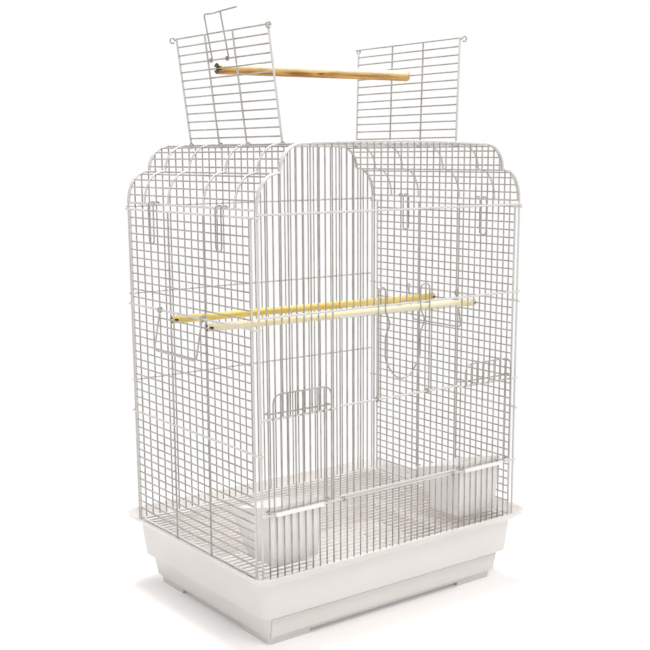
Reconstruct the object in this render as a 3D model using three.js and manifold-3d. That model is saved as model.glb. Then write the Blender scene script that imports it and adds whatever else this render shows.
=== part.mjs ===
// Wire bird cage on a plastic base, with its two roof doors standing open and a play perch between them.
// Millimetres, +Z up, the front faces -Y. The origin is the centre of the base's underside.
import * as THREE from 'three';
import { mergeVertices } from 'three/addons/utils/BufferGeometryUtils.js';
import Module from 'manifold-3d';

const wasm = await Module();
wasm.setup();

// Driving sizes of the cage frame
const cageWidth = 496;
const cageDepth = 368;
const wirePitch = 12.5;
const thinWire = 2.4;
const barWire = 3;
const railWire = 3.6;
const weldSink = 0.5;
const fitGap = 0.3;
const endRun = 1.2;
const eyeSides = 6;
const mergeDistance = 0.00001;

// Heights above the floor
const seatHeight = 107;
const upperRailHeight = 622;
const doorHeadHeight = 484;
const feederHeadHeight = 343;
const sillHeight = 206;
const eaveHeight = 628;
const sideTopHeight = 618;

// Roof outline, one half of it from the post to the flat top
const shoulderRun = 32;
const shoulderRise = 47.4;
const ledgeRun = 6;
const ledgeRise = 2;
const crownRun = 37;
const crownRise = 37.6;
const crownBow = 4;
const arcSteps = 4;

// Roof ribs and the opening between them
const openingLength = 258;
const hingeInset = 83.3;
const innerRibSpacing = 102.3;
const innerRibOffset = 4.5;

// Side panels
const sideEdgeInset = 11.8;
const sideWireCount = 39;
const sideMiddleRow = 12;
const sideLowRow = 26;

// Front panel: bars are counted from the left post
const barCount = 38;
const feederFirstBar = 1;
const feederLastBar = 9;
const doorFirstBar = 11;
const doorLastBar = 29;

// Main door and its latch
const doorTopHeight = 474;
const doorMiddleHeight = 346;
const doorLoopInset = 4;
const hingeLoopRadius = 3.85;
const latchLeft = 204;
const latchRight = 303;
const latchTop = 511;
const latchTopCorner = 4.5;
const latchInnerLeft = 217;
const latchInnerRight = 285;
const latchKinkRun = 10;
const latchKinkTop = 473;
const latchKinkMiddle = 456;
const latchKinkFoot = 441;
const latchBowTop = 402;
const latchBowFoot = 372;

// Feeder doors
const feederBarOffset = 5;
const feederTopHeight = 378;
const feederCornerRise = 15;
const feederCrossDrop = 27;
const feederFootHeight = 211;
const curlReach = 3.6;
const curlDepth = 3.3;

// Roof doors, measured along the door from its hinge
const roofDoorLength = 250;
const roofDoorFirstWire = 11.5;
const roofDoorWireCount = 13;
const roofDoorInnerBar = 38;
const leftLean = 7.6;
const rightLean = 1.8;
const cornerHookRadius = 4;
const cornerHookOut = 6;
const cornerHookHeight = 160;

// Roof door bail
const bailWireRow = 9;
const bailTop = 190;
const bailNear = 172.5;
const bailFar = 217.5;
const bailDip = 1.5;
const bailShift = 7;
const bailFinger = 128;

// Perches
const playPerchDiameter = 16.4;
const playPerchRow = 8;
const playPerchLeftY = 18;
const playPerchRightY = -2;
const playPerchOverhang = 2.5;
const playKerf = 4.8;
const innerPerchDiameter = 12;
const innerPerchRow = 13;
const innerPerchRightYs = [19, -82];
const innerKerfDepth = 9;
const innerPerchOut = 2.6;
const kerfGap = 0.35;
const perchSides = 12;

// Carry handles on the sides
const handleNear = -40.5;
const handleFar = 85;
const handleDrop = 62;
const handleCorner = 7;
const handleLoopRadius = 4.3;

// Roof clips
const clipWidth = 15;
const clipFoot = 569;
const clipCentre = 97;

// Base, as steps outward from the frame line
const footInset = 24.6;
const footHeight = 8.8;
const footTopInset = 24;
const lowerWallInset = 17.5;
const lowerWallHeight = 16;
const shelfInset = 13;
const shelfHeight = 44;
const upperWallInset = 3;
const upperWallHeight = 50;
const upperWallOut = 2.5;
const flareHeight = 102;
const lipFootOut = 21;
const lipFootHeight = 116.5;
const lipOut = 23.5;
const lipHeight = 121;
const baseWall = 3;
const seatOut = 6;
const seatInset = 9;
const seatThickness = 3.5;
const skirtWidth = 7.4;
const skirtHeight = 12.5;
const baseCorner = 16;
const seatCorner = 8;
const cornerSteps = 3;
const cornerShare = 0.4;
const footGapWidth = 300;
const footGapLength = 180;
const footGapHeight = 7;
const flangeSlotLength = 10;
const flangeSlotWidth = 4;
const flangeSlotOut = 14;
const flangeSlotSpacing = 190;

// Tray
const traySlotHalf = 225.5;
const traySideGap = 0.8;
const trayHeadGap = 0.5;
const trayBackGap = 3;
const trayPlate = 3;
const trayWall = 2;
const trayWallHeight = 22;
const trayLipHeight = 4;
const trayLipOut = 1.5;

// Floor grate
const grateInset = 4.5;

// Seed cups
const cupWidth = 94.4;
const cupDepth = 112;
const cupFootDepth = 74;
const cupHeight = 80;
const cupFrontRise = 10;
const cupRimFall = 29;
const cupTaper = 6;
const cupCorner = 9;
const cupCornerSteps = 2;
const cupWall = 1.8;
const cupLip = 1.2;
const cupLipDrop = 5;
const cupLipInset = 4;

// Places that follow from the driving sizes
const halfWidth = cageWidth / 2;
const halfDepth = cageDepth / 2;
const arcMiddleShare = 1 - Math.SQRT1_2;
const triangleShare = 0.66;
const flatShare = 0.5;
const squareShare = 0.44;
const thinPoint = thinWire * triangleShare;
const thinFlat = thinPoint * flatShare;
const thinHalf = thinPoint * Math.sin(Math.PI / 3);
const barHalf = barWire * squareShare;
const railHalf = railWire * squareShare;
const railLayer = thinPoint - weldSink + railHalf;
const railFace = railLayer + railHalf;
const sideLayer = barHalf - weldSink + thinPoint;
const sideRailX = halfWidth + railHalf + fitGap + railHalf;
const sideBarX = sideRailX - sideLayer;
const doorLayer = railFace + fitGap + thinFlat;
const seatedRail = seatHeight + fitGap + railHalf;
const crownTop = eaveHeight + shoulderRise + ledgeRise + crownRise;
const hingeHeight = crownTop - fitGap;
const hingeX = halfWidth - hingeInset;
const roofEndY = halfDepth - railHalf - fitGap - railHalf;
const barX = (bar) => bar * wirePitch - halfWidth;
const sideRowHeight = (row) => sideTopHeight - row * wirePitch;
const radians = THREE.MathUtils.degToRad;

// Colours seen in the photograph
const ivory = [0xd9d6d1, 0.42, 0.1];
const plastic = [0xe5e2df, 0.5, 0];
const cupWhite = [0xf3f2ee, 0.45, 0];
const lightWood = [0xe3c489, 0.7, 0];
const goldWood = [0xdcb868, 0.7, 0];

// A closed three.js geometry as a solid
function solidOf(geometry) {
  const bare = geometry.clone();
  bare.deleteAttribute('normal');
  bare.deleteAttribute('uv');
  const merged = mergeVertices(bare, mergeDistance);
  return new wasm.Manifold(new wasm.Mesh({
    numProp: 3,
    vertProperties: new Float32Array(merged.attributes.position.array),
    triVerts: new Uint32Array(merged.index.array),
  }));
}

// Solids joined in pairs until one is left
function joined(solids) {
  let level = solids;
  while (level.length > 1) {
    const next = [];
    for (let i = 0; i < level.length; i += 2) {
      next.push(i + 1 < level.length ? level[i].add(level[i + 1]) : level[i]);
    }
    level = next;
  }
  return level[0];
}

// Rings of points skinned into a closed shape, with flat ends unless the rings close on themselves
function skinned(rings, loop) {
  const count = rings[0].length;
  const positions = rings.flat().flatMap((point) => [point.x, point.y, point.z]);
  const index = [];
  const last = loop ? rings.length : rings.length - 1;
  for (let ring = 0; ring < last; ring += 1) {
    const here = ring * count;
    const there = ((ring + 1) % rings.length) * count;
    for (let i = 0; i < count; i += 1) {
      const j = (i + 1) % count;
      index.push(here + i, here + j, there + j);
      index.push(here + i, there + j, there + i);
    }
  }
  if (!loop) {
    const end = (rings.length - 1) * count;
    for (let i = 1; i < count - 1; i += 1) {
      index.push(0, i + 1, i);
      index.push(end, end + i, end + i + 1);
    }
  }
  const geometry = new THREE.BufferGeometry();
  geometry.setAttribute('position', new THREE.Float32BufferAttribute(positions, 3));
  geometry.setIndex(index);
  return geometry;
}

// Wire along a path. A three sided wire has its point toward the given side, a four sided one a face
function wire(path, diameter, sides, toward, loop = false) {
  const points = path.map((place) => new THREE.Vector3(...place));
  const count = points.length;
  const reach = sides === 3 ? diameter * triangleShare : diameter * squareShare * Math.SQRT2;
  const turn = sides === 3 ? 0 : Math.PI / sides;
  const runs = points.map((point, i) => points[(i + 1) % count].clone().sub(point).normalize());
  if (!loop) runs[count - 1].copy(runs[count - 2]);
  const side = new THREE.Vector3(...toward);
  side.addScaledVector(runs[0], -side.dot(runs[0])).normalize();
  const rings = [];
  for (let i = 0; i < count; i += 1) {
    const before = i === 0 ? (loop ? runs[count - 1] : runs[0]) : runs[i - 1];
    const after = runs[i];
    if (i > 0) side.applyQuaternion(new THREE.Quaternion().setFromUnitVectors(before, after));
    const mitre = before.clone().add(after).normalize();
    const across = after.clone().cross(side);
    const ring = [];
    for (let k = 0; k < sides; k += 1) {
      const angle = turn + k * 2 * Math.PI / sides;
      const offset = side.clone().multiplyScalar(reach * Math.cos(angle));
      offset.addScaledVector(across, reach * Math.sin(angle));
      offset.addScaledVector(after, -offset.dot(mitre) / after.dot(mitre));
      ring.push(points[i].clone().add(offset));
    }
    rings.push(ring);
  }
  return solidOf(skinned(rings, loop));
}

// Closed hexagonal eye of thin wire round an axis along X or Y
function eye(centre, radius, diameter, sides, along) {
  const path = [];
  for (let i = 0; i < eyeSides; i += 1) {
    const angle = (2 * i + 1) * Math.PI / eyeSides;
    const flat = radius * Math.cos(angle);
    const up = radius * Math.sin(angle);
    const [x, y, z] = centre;
    path.push(along === 'x' ? [x, y + flat, z + up] : [x + flat, y, z + up]);
  }
  const first = path[0];
  const outward = first.map((value, axis) => value - centre[axis]);
  const next = path[1].map((value, axis) => value - centre[axis]);
  const toward = outward.map((value, axis) => value + next[axis]);
  return wire(path, diameter, sides, toward, true);
}

// Box between two corners
function block(low, high) {
  const size = high.map((value, axis) => value - low[axis]);
  const geometry = new THREE.BoxGeometry(...size);
  geometry.translate(...high.map((value, axis) => (value + low[axis]) / 2));
  return solidOf(geometry);
}

// Round bar between two points
function roundBar(start, end, diameter, sides) {
  const from = new THREE.Vector3(...start);
  const to = new THREE.Vector3(...end);
  const along = to.clone().sub(from);
  const geometry = new THREE.CylinderGeometry(diameter / 2, diameter / 2, along.length(), sides);
  const up = new THREE.Vector3(0, 1, 0);
  geometry.applyQuaternion(new THREE.Quaternion().setFromUnitVectors(up, along.normalize()));
  geometry.translate(...from.add(to).divideScalar(2));
  return solidOf(geometry);
}

// Rounded rectangle at one height
function roundedRing(halfX, halfY, corner, height, steps, shiftX = 0, shiftY = 0) {
  const ring = [];
  for (let quarter = 0; quarter < 4; quarter += 1) {
    const signX = quarter === 0 || quarter === 3 ? 1 : -1;
    const signY = quarter < 2 ? 1 : -1;
    for (let step = 0; step <= steps; step += 1) {
      const angle = (quarter + step / steps) * Math.PI / 2;
      const x = signX * (halfX - corner) + corner * Math.cos(angle);
      const y = signY * (halfY - corner) + corner * Math.sin(angle);
      ring.push(new THREE.Vector3(x + shiftX, y + shiftY, height));
    }
  }
  return ring;
}

const cage = new THREE.Group();

// A finished solid as a named mesh in its colour
function piece(name, solid, finish) {
  const mesh = solid.getMesh();
  const geometry = new THREE.BufferGeometry();
  geometry.setAttribute('position', new THREE.BufferAttribute(new Float32Array(mesh.vertProperties), 3));
  geometry.setIndex(new THREE.BufferAttribute(new Uint32Array(mesh.triVerts), 1));
  geometry.computeVertexNormals();
  const [color, roughness, metalness] = finish;
  const result = new THREE.Mesh(geometry, new THREE.MeshStandardMaterial({ color, roughness, metalness }));
  result.name = name;
  return result;
}

// Roof outline of one half, as steps in from the post and heights
function roofHalf() {
  const outline = [];
  for (let i = 0; i <= arcSteps; i += 1) {
    const angle = i / arcSteps * Math.PI / 2;
    outline.push([shoulderRun * (1 - Math.cos(angle)), eaveHeight + shoulderRise * Math.sin(angle)]);
  }
  const crownFoot = eaveHeight + shoulderRise + ledgeRise;
  for (let i = 0; i <= arcSteps; i += 1) {
    const angle = i / arcSteps * Math.PI / 2;
    const run = shoulderRun + ledgeRun + crownRun * (1 - Math.cos(angle));
    outline.push([run, crownFoot + crownRise * Math.sin(angle)]);
  }
  return outline;
}

// Height of the roof outline at a place across the cage
function roofHeight(x) {
  const outline = roofHalf();
  const run = halfWidth - Math.abs(x);
  for (let i = 1; i < outline.length; i += 1) {
    const [fromRun, fromHeight] = outline[i - 1];
    const [toRun, toHeight] = outline[i];
    if (run <= toRun) return fromHeight + (toHeight - fromHeight) * (run - fromRun) / (toRun - fromRun);
  }
  return crownTop;
}

// Points along the roof outline at wire pitch, with the outward direction at each
function roofStations() {
  const outline = roofHalf();
  const stations = [];
  let travelled = 0;
  let target = wirePitch;
  for (let i = 1; i < outline.length; i += 1) {
    const [fromRun, fromHeight] = outline[i - 1];
    const run = outline[i][0] - fromRun;
    const rise = outline[i][1] - fromHeight;
    const length = Math.hypot(run, rise);
    while (target < travelled + length) {
      const share = (target - travelled) / length;
      stations.push([fromRun + run * share, fromHeight + rise * share, -rise / length, run / length]);
      target += wirePitch;
    }
    travelled += length;
  }
  return stations;
}

// Height of a front or back panel's arch, whose crown bows up above the roof
function archHeight(x) {
  const crownHalf = halfWidth - shoulderRun - ledgeRun - crownRun;
  const share = Math.min(Math.abs(x) / crownHalf, 1);
  return roofHeight(x) + crownBow * (1 - share * share);
}

// Post, arch and post of a front or back panel
function archWire(y) {
  const half = roofHalf();
  const left = half.map(([run, height]) => [run - halfWidth, y, height]);
  const right = half.map(([run, height]) => [halfWidth - run, y, height]).reverse();
  const foot = seatedRail - railHalf;
  const crown = [-1, 0, 1].map((step) => {
    const x = step * (halfWidth - shoulderRun - ledgeRun - crownRun) / 2;
    return [x, y, archHeight(x)];
  });
  const path = [[-halfWidth, y, foot], ...left, ...crown, ...right, [halfWidth, y, foot]];
  return wire(path, railWire, 4, [0, 1, 0]);
}

// Upright bar of a front or back panel, with its point toward the rails
function uprightBar(x, y, out, low, high) {
  return wire([[x, y, low], [x, y, high]], thinWire, 3, [0, out, 0]);
}

// Rail across a front or back panel
function crossRail(y, out, height, fromX, toX) {
  const place = y + out * railLayer;
  return wire([[fromX, place, height], [toX, place, height]], railWire, 4, [0, 1, 0]);
}

function frontPanel() {
  const y = -halfDepth;
  const out = -1;
  const reach = halfWidth + railHalf + endRun;
  const solids = [archWire(y)];
  solids.push(wire([[-halfWidth, y, seatedRail], [halfWidth, y, seatedRail]], railWire, 4, [0, 1, 0]));
  for (const height of [upperRailHeight, doorHeadHeight, sillHeight]) {
    solids.push(crossRail(y, out, height, -reach, reach));
  }
  const doorSide = barX(doorFirstBar - 1) + thinHalf + endRun;
  const farDoorSide = barX(doorLastBar + 1) - thinHalf - endRun;
  solids.push(crossRail(y, out, feederHeadHeight, -reach, doorSide));
  solids.push(crossRail(y, out, feederHeadHeight, farDoorSide, reach));
  const feederWidth = feederLastBar - feederFirstBar;
  for (let bar = 1; bar <= barCount; bar += 1) {
    const x = barX(bar);
    const mirrored = barCount + feederFirstBar - bar;
    const nearEdge = Math.min(Math.abs(bar - feederFirstBar), Math.abs(mirrored - feederFirstBar));
    const inDoor = bar >= doorFirstBar && bar <= doorLastBar;
    const inFeeder = nearEdge > 0 && nearEdge < feederWidth;
    const top = archHeight(x);
    if (inDoor || inFeeder) {
      const head = inDoor ? doorHeadHeight : feederHeadHeight;
      solids.push(uprightBar(x, y, out, seatedRail, sillHeight + railHalf - weldSink));
      solids.push(uprightBar(x, y, out, head - railHalf + weldSink, top));
    } else {
      solids.push(uprightBar(x, y, out, seatedRail, top));
    }
  }
  return joined(solids);
}

function backPanel() {
  const y = halfDepth;
  const reach = halfWidth + railHalf + endRun;
  const solids = [archWire(y)];
  solids.push(wire([[-halfWidth, y, seatedRail], [halfWidth, y, seatedRail]], railWire, 4, [0, 1, 0]));
  for (const height of [upperRailHeight, doorHeadHeight, feederHeadHeight]) {
    solids.push(crossRail(y, 1, height, -reach, reach));
  }
  for (let bar = 1; bar <= barCount; bar += 1) {
    solids.push(uprightBar(barX(bar), y, 1, seatedRail, archHeight(barX(bar))));
  }
  return joined(solids);
}

// Side panel with rails that hook round the front and back posts. Side is -1 on the left, 1 on the right
function sidePanel(side) {
  const edgeY = halfDepth - sideEdgeInset;
  const solids = [];
  const foot = seatHeight + fitGap;
  const edgeX = side * (sideRailX - fitGap);
  for (const y of [-edgeY, edgeY]) {
    solids.push(wire([[edgeX, y, foot], [edgeX, y, sideTopHeight]], railWire, 4, [1, 0, 0]));
  }
  for (const y of innerRibYs()) {
    const x = side * sideBarX;
    solids.push(wire([[x, y, foot], [x, y, sideTopHeight + endRun]], barWire, 4, [1, 0, 0]));
  }
  const railX = side * sideRailX;
  for (let row = 1; row <= sideWireCount; row += 1) {
    if (row === sideMiddleRow || row === sideLowRow) continue;
    const height = sideRowHeight(row);
    solids.push(wire([[railX, -edgeY, height], [railX, edgeY, height]], thinWire, 3, [-side, 0, 0]));
  }
  solids.push(wire([[railX, -edgeY, seatedRail], [railX, edgeY, seatedRail]], railWire, 4, [1, 0, 0]));
  const wrap = railHalf + fitGap + railHalf;
  const bend = railHalf * Math.SQRT2 / 2 + fitGap;
  for (const row of [0, sideMiddleRow, sideLowRow]) {
    const height = sideRowHeight(row);
    const corner = halfWidth + wrap - bend;
    const tip = halfWidth - endRun;
    const path = [
      [side * tip, -halfDepth - wrap, height],
      [side * corner, -halfDepth - wrap, height],
      [railX, -halfDepth - wrap + bend, height],
      [railX, halfDepth + wrap - bend, height],
      [side * corner, halfDepth + wrap, height],
      [side * tip, halfDepth + wrap, height],
    ];
    solids.push(wire(path, railWire, 4, [0, 0, 1]));
  }
  return joined(solids);
}

// The two middle ribs lie a little behind the centre
function innerRibYs() {
  return [-1, 1].map((sign) => sign * innerRibSpacing / 2 + innerRibOffset);
}

// Roof: ribs, wires along the shoulders, strips in front of and behind the opening, and hinge wires
function roof() {
  const half = roofHalf();
  const solids = [];
  const acrossPath = (y) => {
    const left = half.map(([run, height]) => [run - halfWidth, y, height]);
    const right = half.map(([run, height]) => [halfWidth - run, y, height]).reverse();
    return [...left, ...right];
  };
  for (const y of [-roofEndY, -openingLength / 2, openingLength / 2, roofEndY]) {
    solids.push(wire(acrossPath(y), railWire, 4, [0, 1, 0]));
  }
  for (const y of innerRibYs()) {
    for (const side of [-1, 1]) {
      const path = half.map(([run, height]) => [side * (halfWidth - run), y, height]);
      path.push([side * hingeX, y, hingeHeight]);
      solids.push(wire(path, railWire, 4, [0, 1, 0]));
    }
  }
  for (const side of [-1, 1]) {
    const post = side * halfWidth;
    solids.push(wire([[post, -roofEndY, eaveHeight], [post, roofEndY, eaveHeight]], railWire, 4, [1, 0, 0]));
    const hinge = side * hingeX;
    const hingePath = [[hinge, -roofEndY, hingeHeight], [hinge, roofEndY, hingeHeight]];
    solids.push(wire(hingePath, railWire, 4, [1, 0, 0]));
    for (const [run, height, outRun, outRise] of roofStations()) {
      const x = side * (halfWidth - run);
      const toward = [-side * outRun, 0, outRise];
      solids.push(wire([[x, -roofEndY, height], [x, roofEndY, height]], thinWire, 3, toward));
    }
  }
  const stripWidth = roofEndY - openingLength / 2;
  const stripRows = Math.round(stripWidth / wirePitch);
  for (let row = 1; row < stripRows; row += 1) {
    for (const side of [-1, 1]) {
      const y = side * (openingLength / 2 + row * stripWidth / stripRows);
      solids.push(wire([[-hingeX, y, crownTop], [hingeX, y, crownTop]], thinWire, 3, [0, 0, 1]));
    }
  }
  return joined(solids);
}

// Roof door standing straight up on its hinge axis at the origin. Side is -1 on the left, 1 on the right
function roofDoor(side) {
  const solids = [];
  const barLayer = side * (thinPoint - weldSink + barHalf);
  const topWire = roofDoorFirstWire + (roofDoorWireCount - 1) * wirePitch;
  const edge = roofDoorLength / 2;
  for (const y of [-edge, edge]) {
    const top = topWire + thinHalf + endRun;
    solids.push(wire([[0, y, hingeLoopRadius], [0, y, top]], railWire, 4, [1, 0, 0]));
  }
  for (const y of [-roofDoorInnerBar, roofDoorInnerBar]) {
    const path = [[barLayer, y, hingeLoopRadius], [barLayer, y, topWire + endRun]];
    solids.push(wire(path, barWire, 4, [1, 0, 0]));
  }
  for (const y of [-edge, -roofDoorInnerBar, roofDoorInnerBar, edge]) {
    solids.push(eye([0, y, 0], hingeLoopRadius, thinWire, 3, 'y'));
  }
  for (let row = 0; row < roofDoorWireCount; row += 1) {
    const height = roofDoorFirstWire + row * wirePitch;
    solids.push(wire([[0, -edge, height], [0, edge, height]], thinWire, 3, [side, 0, 0]));
  }
  for (const end of [-1, 1]) {
    const y = end * edge;
    const out = end * cornerHookOut;
    const r = cornerHookRadius;
    const hook = [
      [0, y, cornerHookHeight],
      [0, y + out, cornerHookHeight],
      [side * r, y + out, cornerHookHeight + r],
      [side * 2 * r, y + out, cornerHookHeight],
      [side * r, y + out, cornerHookHeight - r],
    ];
    solids.push(wire(hook, thinWire, 3, [0, 0, 1]));
  }
  return joined(solids);
}

// Bail on the left roof door, round one of its wires, standing inside the door with its top leaning back
function roofBail() {
  const pivot = roofDoorFirstWire + bailWireRow * wirePitch;
  const near = bailNear - halfDepth;
  const far = bailFar - halfDepth;
  const middle = (near + far) / 2;
  const layer = thinPoint + fitGap + thinFlat;
  const eyeRadius = layer / Math.cos(Math.PI / 6);
  const path = [
    [layer, far, pivot],
    [layer, far + bailShift, bailTop],
    [layer, middle + bailShift, bailTop - bailDip],
    [layer, near + bailShift, bailTop],
    [layer, bailFinger - halfDepth + bailShift, bailTop + bailDip],
  ];
  const solids = [wire(path, thinWire, 3, [1, 0, 0])];
  solids.push(wire([[layer, near, pivot], [layer, near + bailShift, bailTop]], thinWire, 3, [1, 0, 0]));
  for (const y of [near, far]) {
    solids.push(eye([0, y, pivot], eyeRadius, thinWire, 3, 'y'));
  }
  return joined(solids);
}

function mainDoor() {
  const y = -halfDepth;
  const solids = [];
  const left = barX(doorFirstBar);
  const right = barX(doorLastBar);
  const footHeightOfDoor = sillHeight + hingeLoopRadius + railHalf * flatShare;
  for (let bar = doorFirstBar; bar <= doorLastBar; bar += 1) {
    const foot = footHeightOfDoor - railHalf + weldSink;
    solids.push(uprightBar(barX(bar), y, -1, foot, doorTopHeight + railHalf - weldSink));
  }
  const over = thinHalf + endRun;
  for (const height of [footHeightOfDoor, doorMiddleHeight, doorTopHeight]) {
    solids.push(crossRail(y, -1, height, left - over, right + over));
  }
  for (const x of [left + doorLoopInset, right - doorLoopInset]) {
    solids.push(eye([x, y - railLayer, sillHeight], hingeLoopRadius, thinWire, 3, 'x'));
  }
  return joined(solids);
}

// Lyre shaped latch of one bent wire, in front of the door and round its middle rail
function doorLatch() {
  const y = -halfDepth - doorLayer;
  const place = (x, height) => [x - halfWidth, y, height];
  const loopStart = doorMiddleHeight + hingeLoopRadius / 2;
  const shoulder = latchTop - latchTopCorner;
  const bowMiddle = (latchInnerLeft + latchInnerRight) / 2;
  const bowQuarter = (latchInnerRight - latchInnerLeft) / 4;
  const bowRise = (latchBowTop - latchBowFoot) / 4;
  const path = [
    place(latchLeft, loopStart),
    place(latchLeft, shoulder),
    place(latchLeft + latchTopCorner, latchTop),
    place(latchInnerLeft - latchTopCorner, latchTop),
    place(latchInnerLeft, shoulder),
    place(latchInnerLeft, latchKinkTop),
    place(latchInnerLeft + latchKinkRun, latchKinkMiddle),
    place(latchInnerLeft, latchKinkFoot),
    place(latchInnerLeft, latchBowTop),
    place(bowMiddle - bowQuarter, latchBowFoot + bowRise),
    place(bowMiddle, latchBowFoot),
    place(bowMiddle + bowQuarter, latchBowFoot + bowRise),
    place(latchInnerRight, latchBowTop),
    place(latchInnerRight, latchKinkFoot),
    place(latchInnerRight + latchKinkRun, latchKinkMiddle),
    place(latchInnerRight, latchKinkTop),
    place(latchInnerRight, shoulder),
    place(latchInnerRight + latchTopCorner, latchTop),
    place(latchRight - latchTopCorner, latchTop),
    place(latchRight, shoulder),
    place(latchRight, loopStart),
  ];
  const solids = [wire(path, thinWire, 3, [0, -1, 0])];
  for (const x of [latchLeft, latchRight]) {
    const centre = [x - halfWidth, -halfDepth - railLayer, doorMiddleHeight];
    solids.push(eye(centre, hingeLoopRadius, thinWire, 3, 'x'));
  }
  return joined(solids);
}

// Sliding feeder door. Its two cross wires curl round the fixed bars on both sides
function feederDoor(firstBar) {
  const y = -halfDepth - doorLayer;
  const crossY = -halfDepth - railFace - fitGap - weldSink + thinPoint;
  const solids = [];
  const left = barX(firstBar) + feederBarOffset;
  const bars = feederLastBar - feederFirstBar;
  const right = left + bars * wirePitch;
  const corner = feederTopHeight - feederCornerRise;
  const cornerMiddle = feederCornerRise * arcMiddleShare;
  const foot = feederFootHeight - thinHalf;
  const arch = [
    [left, y, foot],
    [left, y, corner],
    [left + cornerMiddle, y, feederTopHeight - cornerMiddle],
    [left + feederCornerRise, y, feederTopHeight],
    [right - feederCornerRise, y, feederTopHeight],
    [right - cornerMiddle, y, feederTopHeight - cornerMiddle],
    [right, y, corner],
    [right, y, foot],
  ];
  solids.push(wire(arch, thinWire, 3, [0, -1, 0]));
  for (let bar = 1; bar < bars; bar += 1) {
    const x = left + bar * wirePitch;
    solids.push(wire([[x, y, foot], [x, y, feederTopHeight]], thinWire, 3, [0, -1, 0]));
  }
  const leftBar = barX(firstBar);
  const rightBar = leftBar + bars * wirePitch;
  const rightReach = feederBarOffset + thinHalf * flatShare;
  for (const height of [feederFootHeight, feederTopHeight - feederCrossDrop]) {
    const path = [
      [leftBar + endRun, -halfDepth + curlDepth, height],
      [leftBar - endRun, -halfDepth + curlDepth, height],
      [leftBar - curlReach, -halfDepth + endRun, height],
      [leftBar - curlReach, -halfDepth - endRun, height],
      [leftBar - endRun, crossY, height],
      [rightBar + feederBarOffset - thinFlat, crossY, height],
      [rightBar + rightReach, -halfDepth - endRun, height],
      [rightBar + curlReach, -halfDepth + endRun, height],
      [rightBar + endRun, -halfDepth + curlDepth, height],
      [rightBar - endRun, -halfDepth + curlDepth, height],
    ];
    solids.push(wire(path, thinWire, 3, [0, 1, 0]));
  }
  return joined(solids);
}

// Carry handle hanging straight down from its hinge axis at the origin
function carryHandle() {
  const r = handleCorner;
  const path = [
    [0, handleNear, -handleLoopRadius],
    [0, handleNear, -handleDrop + r],
    [0, handleNear + r, -handleDrop],
    [0, handleFar - r, -handleDrop],
    [0, handleFar, -handleDrop + r],
    [0, handleFar, -handleLoopRadius],
  ];
  const solids = [wire(path, barWire, 4, [1, 0, 0])];
  for (const y of [handleNear, handleFar]) {
    solids.push(eye([0, y, 0], handleLoopRadius, barWire, 4, 'y'));
  }
  return joined(solids);
}

// Hairpin hung over the roof's eave wire, with its loop down the outside of the side panel
function roofClip(side, y) {
  const flat = sideRailX + railHalf + fitGap + thinPoint;
  const over = railHalf + fitGap + thinPoint;
  const half = clipWidth / 2;
  const top = eaveHeight + over;
  const legs = [-1, 1].map((end) => {
    const legY = y + end * half;
    return [
      [side * (halfWidth - over), legY, eaveHeight],
      [side * (halfWidth - over), legY, top],
      [side * flat, legY, top],
      [side * flat, legY, clipFoot + half],
    ];
  });
  const path = [...legs[0], [side * flat, y, clipFoot], ...legs[1].reverse()];
  return wire(path, thinWire, 3, [side, 0, 0]);
}

function floorGrate() {
  const x = halfWidth - grateInset;
  const y = halfDepth - grateInset;
  const height = seatedRail;
  const frame = [[-x, -y, height], [x, -y, height], [x, y, height], [-x, y, height]];
  const solids = [wire(frame, railWire, 4, [0, 0, 1], true)];
  const rows = Math.round(2 * y / wirePitch);
  for (let row = 1; row < rows; row += 1) {
    const place = -y + row * 2 * y / rows;
    solids.push(wire([[-x, place, height], [x, place, height]], thinWire, 3, [0, 0, -1]));
  }
  const barHeight = height - thinPoint + weldSink - barHalf;
  const barEnd = halfDepth - seatInset - endRun;
  solids.push(wire([[0, -barEnd, barHeight], [0, barEnd, barHeight]], barWire, 4, [0, 0, 1]));
  return joined(solids);
}

// Ring of the base at a step out from the frame line
function baseRing(out, height, corner = baseCorner + cornerShare * out) {
  return roundedRing(halfWidth + out, halfDepth + out, corner, height, cornerSteps);
}

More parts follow.
